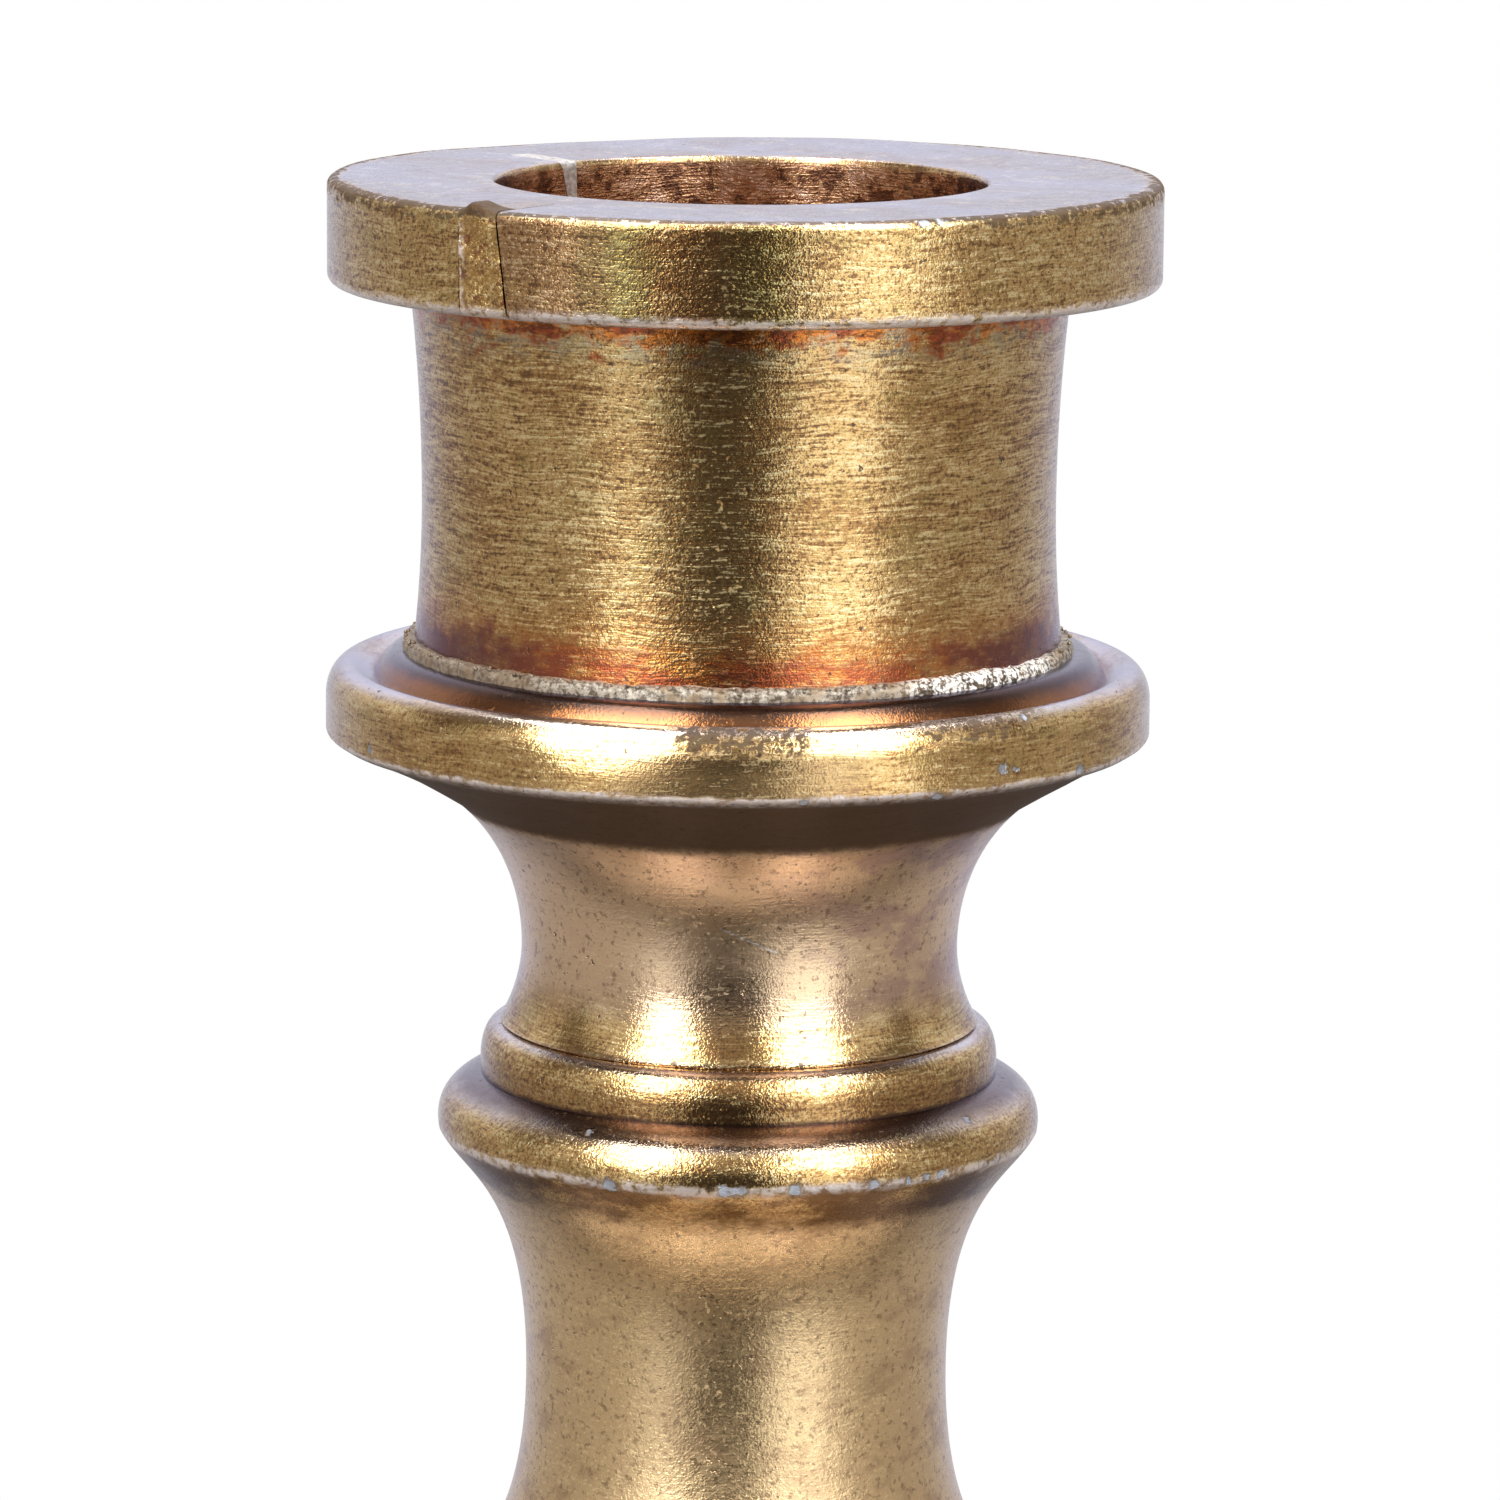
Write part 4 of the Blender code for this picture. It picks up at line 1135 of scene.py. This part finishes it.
def fillet_points():
    """The thin ring between the neck and the reel, rounded at its top."""
    top = NECK_FOOT
    return outline(
        (10.6 * MM, top + 0.02 * MM),
        *sweep((10.95 * MM, top - 0.06 * MM), (11.50 * MM, top - 0.18 * MM),
               (11.70 * MM, top - 0.75 * MM), (11.76 * MM, top - 1.5 * MM), 14),
        (11.74 * MM, REEL_TOP - 0.08 * MM),
        hidden=[(LOOSE_HOLE_RADIUS, REEL_TOP - 0.08 * MM), (LOOSE_HOLE_RADIUS, top + 0.02 * MM)],
        spacing=0.2 * MM)


def reel_half():
    """The reel's outside from its top face, over the knop and down to its waist."""
    top = REEL_TOP
    crest = (13.7 * MM, HEIGHT - 42.81 * MM)
    edge = (13.66 * MM, KNOP_EDGE)
    waist = (9.64 * MM, REEL_WAIST)
    knop = sweep((11.71 * MM, top), (12.35 * MM, top - 0.22 * MM), (crest[0], top - 0.58 * MM), crest)
    cove = sweep(edge, (12.72 * MM, HEIGHT - 45.0 * MM), (waist[0], HEIGHT - 46.18 * MM), waist, 40)
    return knop + cove


def from_waist(pad, place_mm):
    """Distance above or below the reel's waist, in millimetres."""
    z = pad.split(place_mm)[2]
    return pad.absolute(z - REEL_WAIST / MM)


def ring_joint_and_shade(pad, place_mm, colour):
    """Painted shade on a fillet ring: its part next to the reel is darker, and it is dark brown where it meets
    the reel, which is a dark joint line too.
    """
    edge = pad.noise(place_mm, 1.2, 3.0, 0.65)
    away = from_waist(pad, place_mm)
    # Painted shade: the ring's part next to the reel is darker.
    dull = pad.smooth(away + edge * 0.5, REEL_REACH + 1.7, REEL_REACH + 0.9)
    colour = pad.mix(colour, (0.60, 0.50, 0.42), dull * 0.8, "MULTIPLY")
    # A dark joint line where the ring meets the reel, with painted shade there.
    foot = pad.smooth(away + edge * 0.3, REEL_REACH + 0.42, REEL_REACH + 0.15)
    return pad.mix(colour, (0.07, 0.025, 0.012), foot * 0.9)


def reel_tints_and_shade(pad, place_mm, colour):
    """Painted shade: dark brown next to the fillet rings and under each knop's edge. A speckled dull waist."""
    edge = pad.noise(place_mm, 0.8, 4.0, 0.65)
    clouds = pad.noise(pad.stretch(place_mm, 0.3, 0.5), 1.0, 4.0, 0.6)
    away = from_waist(pad, place_mm)
    waist = pad.smooth(away + (edge - 0.5), KNOP_REACH - 0.8, KNOP_REACH - 2.5)
    colour = pad.mix(colour, (1.0, 0.74, 0.42), waist * 0.75)
    speckle = pad.smooth(pad.noise(place_mm, 3.2, 3.0, 0.7), 0.54, 0.66)
    colour = pad.mix(colour, (0.20, 0.11, 0.05), waist * speckle * 0.6)
    colour = pad.mix(colour, (0.50, 0.31, 0.17), waist * pad.smooth(clouds, 0.52, 0.64) * 0.45)
    # Painted shade: a dark band under each knop's edge.
    under = pad.between(away + (edge - 0.5) * 1.6, KNOP_REACH - 1.6, KNOP_REACH - 0.30, 0.9)
    colour = pad.mix(colour, (0.20, 0.10, 0.025), under * (0.35 + 0.6 * pad.smooth(clouds, 0.40, 0.56)))
    # Painted shade: dark brown on the knop's top next to the fillet ring.
    shelf = pad.smooth(away + (edge - 0.5) * 0.4, REEL_REACH - 0.85, REEL_REACH - 0.20)
    return pad.mix(colour, (0.10, 0.045, 0.018), shelf * 0.92)


def reel_wear_and_sheen(pad, place_mm):
    """A pale line along each knop's edge: rubbed brass, and a painted reflection of the white surround."""
    ragged = pad.noise(pad.stretch(place_mm, 0.5, 1.5), 1.0, 3.0, 0.6)
    away = from_waist(pad, place_mm)
    return pad.between(away + (ragged - 0.5) * 0.5, KNOP_REACH - 0.04, KNOP_REACH + 0.10, 0.36) * 0.85


def reel_shine(pad, place_mm):
    """Each knop is polished, and the waist is dull."""
    return pad.smooth(from_waist(pad, place_mm), KNOP_REACH - 0.3, KNOP_REACH + 0.5) * 0.14 - 0.09


class CANDLESTICK_OT_reel(bpy.types.Operator):
    """Make the reel and the fillet rings above and below it"""

    bl_idname = "candlestick.reel"
    bl_label = "Reel and fillet rings"

    def execute(self, context):
        half = reel_half()
        bottom = 2 * REEL_WAIST - REEL_TOP
        points = outline(*half[:-1], *mirrored(half, REEL_WAIST),
                         hidden=joint_points(bottom, "stem_reel", "neck_casting", REEL_TOP))
        edge = HEIGHT - 43.1 * MM
        marks = [(degrees, 13.65 * MM, edge, size * MM) for degrees, size in (
            (-24.2, 0.48), (-1.9, 0.42), (0.9, 0.36), (10.6, 0.36), (26.3, 0.34), (33.8, 0.28), (38.0, 0.3),
            (41.4, 0.28), (97, 0.4), (151, 0.35), (-120, 0.4))]
        marks += [(degrees, 12.9 * MM, edge + 2.05 * MM, 0.36 * MM) for degrees in (-30.7, 52.8, 170)]
        metal = brass_finish("reel_brass", reel_tints_and_shade, reel_wear_and_sheen, shine=reel_shine, scratch=0.55, grit=1.2)
        reel = turned("stem_reel_finished", points, metal, marks=marks, plain_edges=everywhere)
        place(reel, BODY, "cast_brass", "stem_reel")
        ring_metal = brass_finish("fillet_ring_brass", ring_joint_and_shade, gloss=0.05, scratch=0.6, grit=1.3)
        upper = fillet_points()
        lower = mirrored(upper, REEL_WAIST)
        for node, points in (("upper_fillet_ring", upper), ("lower_fillet_ring", lower)):
            ring = turned(node + "_finished", points, ring_metal, plain_edges=everywhere)
            place(ring, BODY, "cast_brass", node)
        return {"FINISHED"}


def baluster_points():
    """The vase: a short neck, a full belly, a long taper to the ankle and a flared foot."""
    top = 2 * REEL_WAIST - NECK_FOOT
    foot = node_high("base_collar")
    neck = (8.8 * MM, top - 4.4 * MM)
    belly = (node_radius("stem_baluster"), top - 14.5 * MM)
    ankle = (7.2 * MM, foot + 11.7 * MM)
    return outline(
        *sweep((10.9 * MM, top), (9.7 * MM, top - 1.4 * MM), (neck[0], neck[1] + 1.9 * MM), neck),
        *sweep(neck, (neck[0], neck[1] - 3.0 * MM), (belly[0] - 0.5 * MM, neck[1] - 3.0 * MM), belly, 40)[1:],
        *sweep(belly, (belly[0] + 0.6 * MM, belly[1] - 7.5 * MM),
               (ankle[0] + 1.3 * MM, ankle[1] + 10.0 * MM), ankle, 40)[1:],
        *sweep(ankle, (ankle[0] - 0.3 * MM, ankle[1] - 5.0 * MM),
               (ankle[0] + 0.4 * MM, foot + 2.7 * MM), (10.4 * MM, foot + 1.3 * MM))[1:],
        (10.4 * MM, foot, 0.15 * MM),
        hidden=joint_points(foot, "stem_baluster", "stem_reel", top), spacing=0.45 * MM)


class CANDLESTICK_OT_baluster(bpy.types.Operator):
    """Make the baluster and the collar under it"""

    bl_idname = "candlestick.baluster"
    bl_label = "Baluster and collar"

    def execute(self, context):
        metal = brass_finish("baluster_brass", gloss=0.02)
        baluster = turned("stem_baluster_finished", baluster_points(), metal)
        place(baluster, BODY, "cast_brass", "stem_baluster")
        top, bottom = node_high("base_collar"), node_high("base_foot")
        collar_radius = node_radius("base_collar")
        points = outline(
            *sweep((10.5 * MM, top), (collar_radius - 0.6 * MM, top - 0.2 * MM),
                   (collar_radius, top - 1.0 * MM), (collar_radius, top - 2.2 * MM)),
            (12.0 * MM, bottom + 0.02 * MM, 0.15 * MM),
            hidden=[(LOOSE_HOLE_RADIUS, bottom + 0.02 * MM), (LOOSE_HOLE_RADIUS, top)], spacing=0.2 * MM)
        collar = turned("base_collar_finished", points, brass_finish("collar_brass"))
        place(collar, BODY, "cast_brass", "base_collar")
        return {"FINISHED"}


# ---------------------------------------------------------------------------------------------------------
# Foot
# ---------------------------------------------------------------------------------------------------------

def foot_points():
    """The stepped dome outside and its hollow inside."""
    crown = node_high("base_foot")
    foot_radius = node_radius("base_foot")
    ring = (19.5 * MM, 35.9 * MM)
    ring_round = 1.6 * MM
    dome_top = (ring[0] + 0.3 * MM, ring[1] - ring_round - 0.3 * MM)
    dome_foot = (42.5 * MM, 14.3 * MM)
    edge_height = 8.6 * MM
    edge_round = 1.8 * MM
    edge_centre = (foot_radius - edge_round, edge_height - edge_round)
    seat = 36.0 * MM
    inner_foot = (39.1 * MM, 14.0 * MM)
    ceiling = 30.5 * MM
    boss = 13.5 * MM
    return outline(
        (11.0 * MM, crown, 0.2 * MM),
        *sweep((11.0 * MM, crown - 0.6 * MM), (10.2 * MM, crown - 6.0 * MM),
               (12.5 * MM, ring[1] + 4.4 * MM), (ring[0] - 0.8 * MM, ring[1] + ring_round + 0.3 * MM)),
        *arc(ring, ring_round, 90, -90),
        *sweep(dome_top, (dome_top[0] + 10.0 * MM, dome_top[1] - 0.8 * MM),
               (dome_foot[0] - 2.4 * MM, dome_foot[1] + 12.5 * MM), dome_foot, 40),
        *sweep((dome_foot[0] + 1.0 * MM, dome_foot[1] - 0.2 * MM),
               (dome_foot[0] + 1.2 * MM, dome_foot[1] - 3.6 * MM),
               (dome_foot[0] + 4.0 * MM, edge_height + 0.4 * MM), (edge_centre[0] - 0.6 * MM, edge_height)),
        *arc(edge_centre, edge_round, 90, 0),
        (foot_radius, 0.9 * MM), (foot_radius - 0.8 * MM, 0.0, 0.2 * MM), (47.0 * MM, 0.0, 0.3 * MM),
        *sweep((46.4 * MM, 4.6 * MM), (44.0 * MM, 6.0 * MM), (40.3 * MM, 9.5 * MM), inner_foot, 12),
        *sweep(inner_foot, (36.7 * MM, 24.5 * MM), (27.0 * MM, ceiling - 0.2 * MM),
               (16.0 * MM, ceiling), 20)[1:],
        (boss, ceiling + 0.6 * MM), (boss, seat),
        hidden=[(LOOSE_HOLE_RADIUS, seat), (LOOSE_HOLE_RADIUS, crown)], spacing=0.85 * MM)


def foot_tints(pad, place_mm, colour):
    """Dark tarnish in the steps, and darker brown on faces that look down."""
    z = pad.split(place_mm)[2]
    clouds = pad.noise(pad.stretch(place_mm, 0.12, 0.3), 1.0, 4.0, 0.6)
    down = pad.smooth(pad.up(), -0.15, -0.5) * pad.smooth(z, 36.5, 35.5)
    colour = pad.mix(colour, (0.20, 0.11, 0.05), down * 0.8)
    step = pad.between(z, 13.6, 14.4, 0.9)
    step = step + pad.between(z, 33.2, 34.2, 0.8) + pad.between(z, 37.6, 38.4, 0.8)
    return pad.mix(colour, (0.30, 0.16, 0.06), step * pad.smooth(clouds, 0.3, 0.55) * 0.8)


class CANDLESTICK_OT_foot(bpy.types.Operator):
    """Make the hollow foot, with a smooth stepped dome outside"""

    bl_idname = "candlestick.foot"
    bl_label = "Foot"

    def execute(self, context):
        foot = turned("base_foot_finished", foot_points(), brass_finish("foot_brass", foot_tints))
        place(foot, BODY, "cast_brass", "base_foot")
        return {"FINISHED"}


class CANDLESTICK_OT_fixing(bpy.types.Operator):
    """Make the washer and the nut under the foot, and the thread below the nut"""

    bl_idname = "candlestick.fixing"
    bl_label = "Washer and nut"

    def execute(self, context):
        steel = simple_finish("fixing_steel", colours().steel, 0.4, scale=5.0)
        low, high = node_low("base_washer"), node_high("base_washer") + 0.2 * MM
        hole, rim = 5.3 * MM, node_radius("base_washer")
        points = outline(
            (hole, low, 0.15 * MM), (rim, low, 0.25 * MM), (rim, high, 0.25 * MM), (hole, high, 0.15 * MM))
        washer = turned("base_washer_finished", points, steel, segments=128)
        place(washer, BODY, "steel", "base_washer")
        place(hexagon_nut("base_nut_finished", steel), BODY, "steel", "base_nut")
        end = node_low("stem_baluster")
        length = node_low("base_nut") - end
        pitch = 0.5 * MM
        brass = brass_finish("thread_brass")
        thread = run_tree("tenon_thread", thread_tree(brass), {
            "Radius": TENON_RADIUS, "Turns": length / pitch, "Height": length, "Bottom": end,
            "Ridge": 0.28 * MM}, brass)
        place(thread, BODY, "cast_brass")
        return {"FINISHED"}


def hexagon_nut(name, material):
    """A six-sided nut with chamfered corners, drilled for the tenon."""
    low, high = node_low("base_nut"), node_high("base_nut") + 0.25 * MM
    corner = 9.4 * MM
    chamfer = 0.7 * MM
    face = corner - 1.5 * MM
    hole, lip = SOCKET_RADIUS, SOCKET_RADIUS + 0.4 * MM
    steps = 72
    rings = [(hole, low, False), (lip, low, False), (face, low, False), (corner, low + chamfer, True),
             (corner, high - chamfer, True), (face, high, False), (lip, high, False), (hole, high, False)]
    bm = bmesh.new()
    loops = []
    for radius, height, flat in rings:
        loop = []
        for i in range(steps):
            angle = 2 * math.pi * i / steps
            from_flat = (angle % (math.pi / 3)) - math.pi / 6
            flat_radius = corner * math.cos(math.pi / 6) / math.cos(from_flat)
            r = min(radius, flat_radius) if flat else radius
            loop.append(bm.verts.new((r * math.cos(angle), r * math.sin(angle), height)))
        loops.append(loop)
    for first, second in zip(loops, loops[1:] + loops[:1]):
        for i in range(steps):
            j = (i + 1) % steps
            bm.faces.new((first[i], first[j], second[j], second[i]))
    bmesh.ops.recalc_face_normals(bm, faces=bm.faces)
    mesh = bpy.data.meshes.new(name)
    bm.to_mesh(mesh)
    bm.free()
    return finished(name, mesh, material)


def thread_tree(material):
    """Geometry Nodes: a ridge that climbs round a rod."""
    pad, given = geometry_tree("thread_ridge", {
        "Radius": 5.0 * MM, "Turns": 4.0, "Height": 2.0 * MM, "Bottom": 20.0 * MM, "Ridge": 0.28 * MM})
    helix = pad.add("GeometryNodeCurveSpiral", None, {
        "Resolution": 72, "Rotations": given["Turns"], "Start Radius": given["Radius"],
        "End Radius": given["Radius"], "Height": given["Height"]})
    lift = pad.add("ShaderNodeCombineXYZ", None, {"Z": given["Bottom"]})
    placed = pad.add("GeometryNodeTransform", None, {"Geometry": helix, "Translation": lift})
    ridge = pad.add("GeometryNodeCurvePrimitiveCircle", {"mode": "RADIUS"},
                    {"Resolution": 6, "Radius": given["Ridge"]})
    swept = pad.add("GeometryNodeCurveToMesh", None, {
        "Curve": placed, "Profile Curve": ridge, "Fill Caps": True})
    return pad.finish(swept, material)


# ---------------------------------------------------------------------------------------------------------
# Ejector
# ---------------------------------------------------------------------------------------------------------

def knurl_tree(material):
    """Geometry Nodes: upright ribs round a button's edge."""
    pad, given = geometry_tree("button_knurls", {
        "Ribs": 64, "Radius": 7.0 * MM, "Middle": 3.0 * MM, "Rib radius": 0.25 * MM, "Rib length": 1.3 * MM})
    circle = pad.add("GeometryNodeMeshCircle", None, {"Vertices": given["Ribs"], "Radius": given["Radius"]})
    lift = pad.add("ShaderNodeCombineXYZ", None, {"Z": given["Middle"]})
    raised = pad.add("GeometryNodeSetPosition", None, {"Geometry": circle, "Offset": lift})
    rib = pad.add("GeometryNodeMeshCylinder", None, {
        "Vertices": 8, "Radius": given["Rib radius"], "Depth": given["Rib length"]})
    placed = pad.add("GeometryNodeInstanceOnPoints", None, {"Points": raised, "Instance": rib})
    return pad.finish(placed, material)


class CANDLESTICK_OT_ejector(bpy.types.Operator):
    """Make the ejector's disc, rod and button"""

    bl_idname = "candlestick.ejector"
    bl_label = "Ejector"

    def execute(self, context):
        disc_top, disc_low = node_high("ejector_disc"), node_low("ejector_disc")
        disc_radius = node_radius("ejector_disc")
        rivet = 3.1 * MM
        points = outline(
            (0.0, disc_low), (disc_radius, disc_low, 0.2 * MM), (disc_radius, disc_top, 0.25 * MM),
            (rivet + 0.3 * MM, disc_top - 0.05 * MM), (rivet, disc_top + 0.1 * MM, 0.1 * MM),
            (0.0, disc_top + 0.35 * MM))
        disc = turned("ejector_disc_finished", points, brass_finish("disc_brass", dull=0.8), segments=192)
        place(disc, EJECTOR, "cast_brass", "ejector_disc")
        rod_radius = node_radius("ejector_rod")
        low, top = node_low("ejector_rod"), disc_low + 0.2 * MM
        points = outline(
            (0.0, low), (rod_radius, low, 0.1 * MM), (rod_radius, top), (0.0, top), spacing=2.0 * MM)
        steel = simple_finish("rod_steel", colours().steel, 0.35)
        rod = turned("ejector_rod_finished", points, steel, segments=48)
        place(rod, EJECTOR, "steel", "ejector_rod")
        low, top = node_low("ejector_button"), node_high("ejector_button")
        radius = node_radius("ejector_button")
        side, hub = radius - 0.25 * MM, 4.2 * MM
        metal = brass_finish("button_brass", gloss=0.03)
        points = outline(
            (0.0, low), (radius - 1.3 * MM, low + 0.05 * MM, 0.5 * MM), (side, low + 0.7 * MM),
            (side, low + 2.1 * MM, 0.3 * MM), (hub, low + 3.0 * MM, 0.5 * MM), (hub, top, 0.2 * MM),
            hidden=[(1.9 * MM, top), (0.0, top)])
        button = turned("ejector_button_finished", points, metal, segments=192)
        place(button, EJECTOR, "cast_brass", "ejector_button")
        ribs = run_tree("ejector_button_knurls", knurl_tree(metal), {
            "Ribs": 64, "Radius": radius - 0.3 * MM, "Middle": low + 1.4 * MM, "Rib radius": 0.25 * MM,
            "Rib length": 1.3 * MM}, metal)
        place(ribs, EJECTOR, "cast_brass")
        return {"FINISHED"}


# ---------------------------------------------------------------------------------------------------------
# Stage
# ---------------------------------------------------------------------------------------------------------

CAMERA_DISTANCE = 0.32604
CAMERA_ELEVATION = math.radians(10.16)
CAMERA_ROLL = math.radians(0.48)
CAMERA_AIM = Vector((0.41 * MM, 0.0, HEIGHT - 25.9 * MM))
CAMERA_LENS = 172.8
FLOOR_RADIUS = 0.10
FLOOR_GAP = 0.05 * MM


def add_camera():
    """A long lens near the socket, level with its upper half."""
    camera = bpy.data.cameras.new("candlestick_camera")
    camera.sensor_width = 36.0
    camera.lens = CAMERA_LENS
    camera.clip_start = 0.01
    camera.clip_end = 20.0
    obj = bpy.data.objects.new("candlestick_camera", camera)
    bpy.context.scene.collection.objects.link(obj)
    back = Vector((0, -math.cos(CAMERA_ELEVATION), math.sin(CAMERA_ELEVATION)))
    turn = Matrix.Rotation(math.radians(90) - CAMERA_ELEVATION, 4, "X") @ Matrix.Rotation(CAMERA_ROLL, 4, "Z")
    obj.matrix_world = Matrix.Translation(CAMERA_AIM + back * CAMERA_DISTANCE) @ turn
    bpy.context.scene.camera = obj


def add_floor():
    """A pale round floor that fades into the white surround, is a dim table in reflections, and is clear
    from below."""
    rings = 40
    steps = 96
    angles = np.linspace(0, 2 * math.pi, steps + 1)[:-1]
    bm = bmesh.new()
    loops = [[bm.verts.new((r * math.cos(a), r * math.sin(a), -FLOOR_GAP)) for a in angles]
             for r in np.linspace(0.01, FLOOR_RADIUS, rings)]
    for first, second in zip(loops, loops[1:]):
        for i in range(steps):
            j = (i + 1) % steps
            bm.faces.new((first[i], second[i], second[j], first[j]))
    bm.faces.new(loops[0])
    mesh = bpy.data.meshes.new("pale_floor")
    bm.to_mesh(mesh)
    bm.free()
    material, pad = new_pad("pale_floor_paint")
    place_mm = pad.place()
    distance = pad.node("ShaderNodeVectorMath", {"operation": "LENGTH"}, {0: place_mm}, output="Value")
    edge = FLOOR_RADIUS / MM
    fade = pad.smooth(distance, edge * 0.5, edge * 0.98)
    paint = pad.node("ShaderNodeBsdfDiffuse", None, {"Color": (0.86, 0.86, 0.87)})
    white = pad.node("ShaderNodeEmission", None, {"Color": (1, 1, 1), "Strength": 1.0})
    pale = pad.node("ShaderNodeMixShader", None, {0: 0.55 + fade * 0.45, 1: paint, 2: white})
    seen = pad.node("ShaderNodeLightPath", output="Is Camera Ray")
    table = pad.node("ShaderNodeBsdfDiffuse", None, {"Color": (0.34, 0.28, 0.23)})
    mixed = pad.node("ShaderNodeMixShader", None, {0: seen, 1: table, 2: pale})
    below = pad.node("ShaderNodeNewGeometry", output="Backfacing")
    clear = pad.node("ShaderNodeBsdfTransparent")
    shown = pad.node("ShaderNodeMixShader", None, {0: below, 1: mixed, 2: clear})
    pad.node("ShaderNodeOutputMaterial", None, {"Surface": shown})
    floor = finished("pale_floor", mesh, material)


def add_light():
    """Two tall soft boxes in front with a dim gap between them, a grey surround, and white for the camera.

    over is the angle of a direction over the front, from 0 straight ahead to 90 straight up.
    """
    world = bpy.data.worlds.new("soft_studio")
    world.use_nodes = True
    bpy.context.scene.world = world
    pad = Pad(world.node_tree)
    direction = pad.node("ShaderNodeTexCoord", output="Generated")
    x, y, z = pad.split(direction)
    degree = 180 / math.pi
    azimuth = pad.node("ShaderNodeMath", {"operation": "ARCTAN2"}, {0: x, 1: 0 - y}) * degree
    elevation = pad.node("ShaderNodeMath", {"operation": "ARCSINE"}, {0: z}) * degree
    over = pad.node("ShaderNodeMath", {"operation": "ARCTAN2"}, {0: z, 1: 0 - y}) * degree
    rise = pad.smooth(over, 0, 60)
    crown = pad.smooth(over, 50, 95)
    ends = pad.smooth(over, -46, -34) * pad.smooth(over, 122, 104)
    left = pad.between(x, rise * 0.06 + crown * 0.26 - 0.70, rise * 0.17 + crown * 0.12 - 0.50, 0.06)
    left = left * ends * (0.62 + 7.0 * pad.smooth(over, -2, 28))
    right = pad.between(x, 0.31 - crown * 0.11, 0.74 - rise * 0.10 - crown * 0.26, 0.05)
    right = right * ends * (1.1 + 5.9 * pad.smooth(over, 4, 34))
    aside = pad.absolute(azimuth)
    around = pad.smooth(aside, 10, 60)
    behind = pad.smooth(aside, 115, 165)
    overhead = pad.smooth(elevation, 35, 70) * 0.3
    low_front = pad.smooth(elevation, -36, -54) * (1 - behind)
    low_behind = pad.smooth(elevation, -22, -40) * pad.smooth(aside, 125, 160)
    roof = pad.between(over, 80, 116, 12)
    back_gap = pad.smooth(aside, 158, 172) * pad.smooth(elevation, -12, -22) * 0.5
    dim = 1 - 0.88 * low_front - 0.93 * low_behind
    above = pad.smooth(elevation, 2, 20) * 0.26
    fill = (0.05 + 0.34 * around + 0.45 * behind + above + overhead) * (1 - 0.70 * roof) * (1 - back_gap)
    level = (fill + left + right) * dim
    warmth = pad.smooth(level, 0.7, 0.2) * (1 - behind)
    tone = pad.mix((1, 1, 1), (1.0, 0.87, 0.76), warmth)
    tone = pad.mix(tone, (0.97, 0.96, 0.99), behind)
    seen = pad.node("ShaderNodeLightPath", output="Is Camera Ray")
    light = pad.node("ShaderNodeBackground", None, {"Color": tone, "Strength": level})
    white = pad.node("ShaderNodeBackground", None, {"Color": (1, 1, 1), "Strength": 1.0})
    mixed = pad.node("ShaderNodeMixShader", None, {0: seen, 1: light, 2: white})
    pad.node("ShaderNodeOutputWorld", None, {"Surface": mixed})


class CANDLESTICK_OT_stage(bpy.types.Operator):
    """Add the camera, the floor and the light"""

    bl_idname = "candlestick.stage"
    bl_label = "Stage"

    def execute(self, context):
        add_camera()
        add_floor()
        add_light()
        view = context.scene.view_settings
        view.view_transform = "Standard"
        view.look = "None"
        return {"FINISHED"}


# ---------------------------------------------------------------------------------------------------------
# Panel and registration
# ---------------------------------------------------------------------------------------------------------

OPERATORS = (
    CANDLESTICK_OT_stage,
    CANDLESTICK_OT_rim,
    CANDLESTICK_OT_rim_seam,
    CANDLESTICK_OT_tube,
    CANDLESTICK_OT_bead,
    CANDLESTICK_OT_neck,
    CANDLESTICK_OT_reel,
    CANDLESTICK_OT_baluster,
    CANDLESTICK_OT_foot,
    CANDLESTICK_OT_fixing,
    CANDLESTICK_OT_ejector,
)


class CANDLESTICK_PT_panel(bpy.types.Panel):
    """Lists the candlestick's sizes, colours and operators"""

    bl_idname = "CANDLESTICK_PT_panel"
    bl_label = "Candlestick"
    bl_space_type = "VIEW_3D"
    bl_region_type = "UI"
    bl_category = "Candlestick"

    def draw(self, context):
        for group in (context.scene.candlestick_sizes, context.scene.candlestick_colours):
            for name in group.bl_rna.properties.keys():
                if name not in ("name", "rna_type"):
                    self.layout.prop(group, name)
        for operator in OPERATORS:
            self.layout.operator(operator.bl_idname)


CLASSES = (CandlestickSizes, CandlestickColours, *OPERATORS, CANDLESTICK_PT_panel)


def register():
    for cls in CLASSES:
        bpy.utils.register_class(cls)
    bpy.types.Scene.candlestick_sizes = PointerProperty(type=CandlestickSizes)
    bpy.types.Scene.candlestick_colours = PointerProperty(type=CandlestickColours)


def unregister():
    del bpy.types.Scene.candlestick_colours
    del bpy.types.Scene.candlestick_sizes
    for cls in reversed(CLASSES):
        bpy.utils.unregister_class(cls)


def main():
    register()
    for operator in OPERATORS:
        group, name = operator.bl_idname.split(".")
        getattr(getattr(bpy.ops, group), name)()


if __name__ == "__main__":
    main()
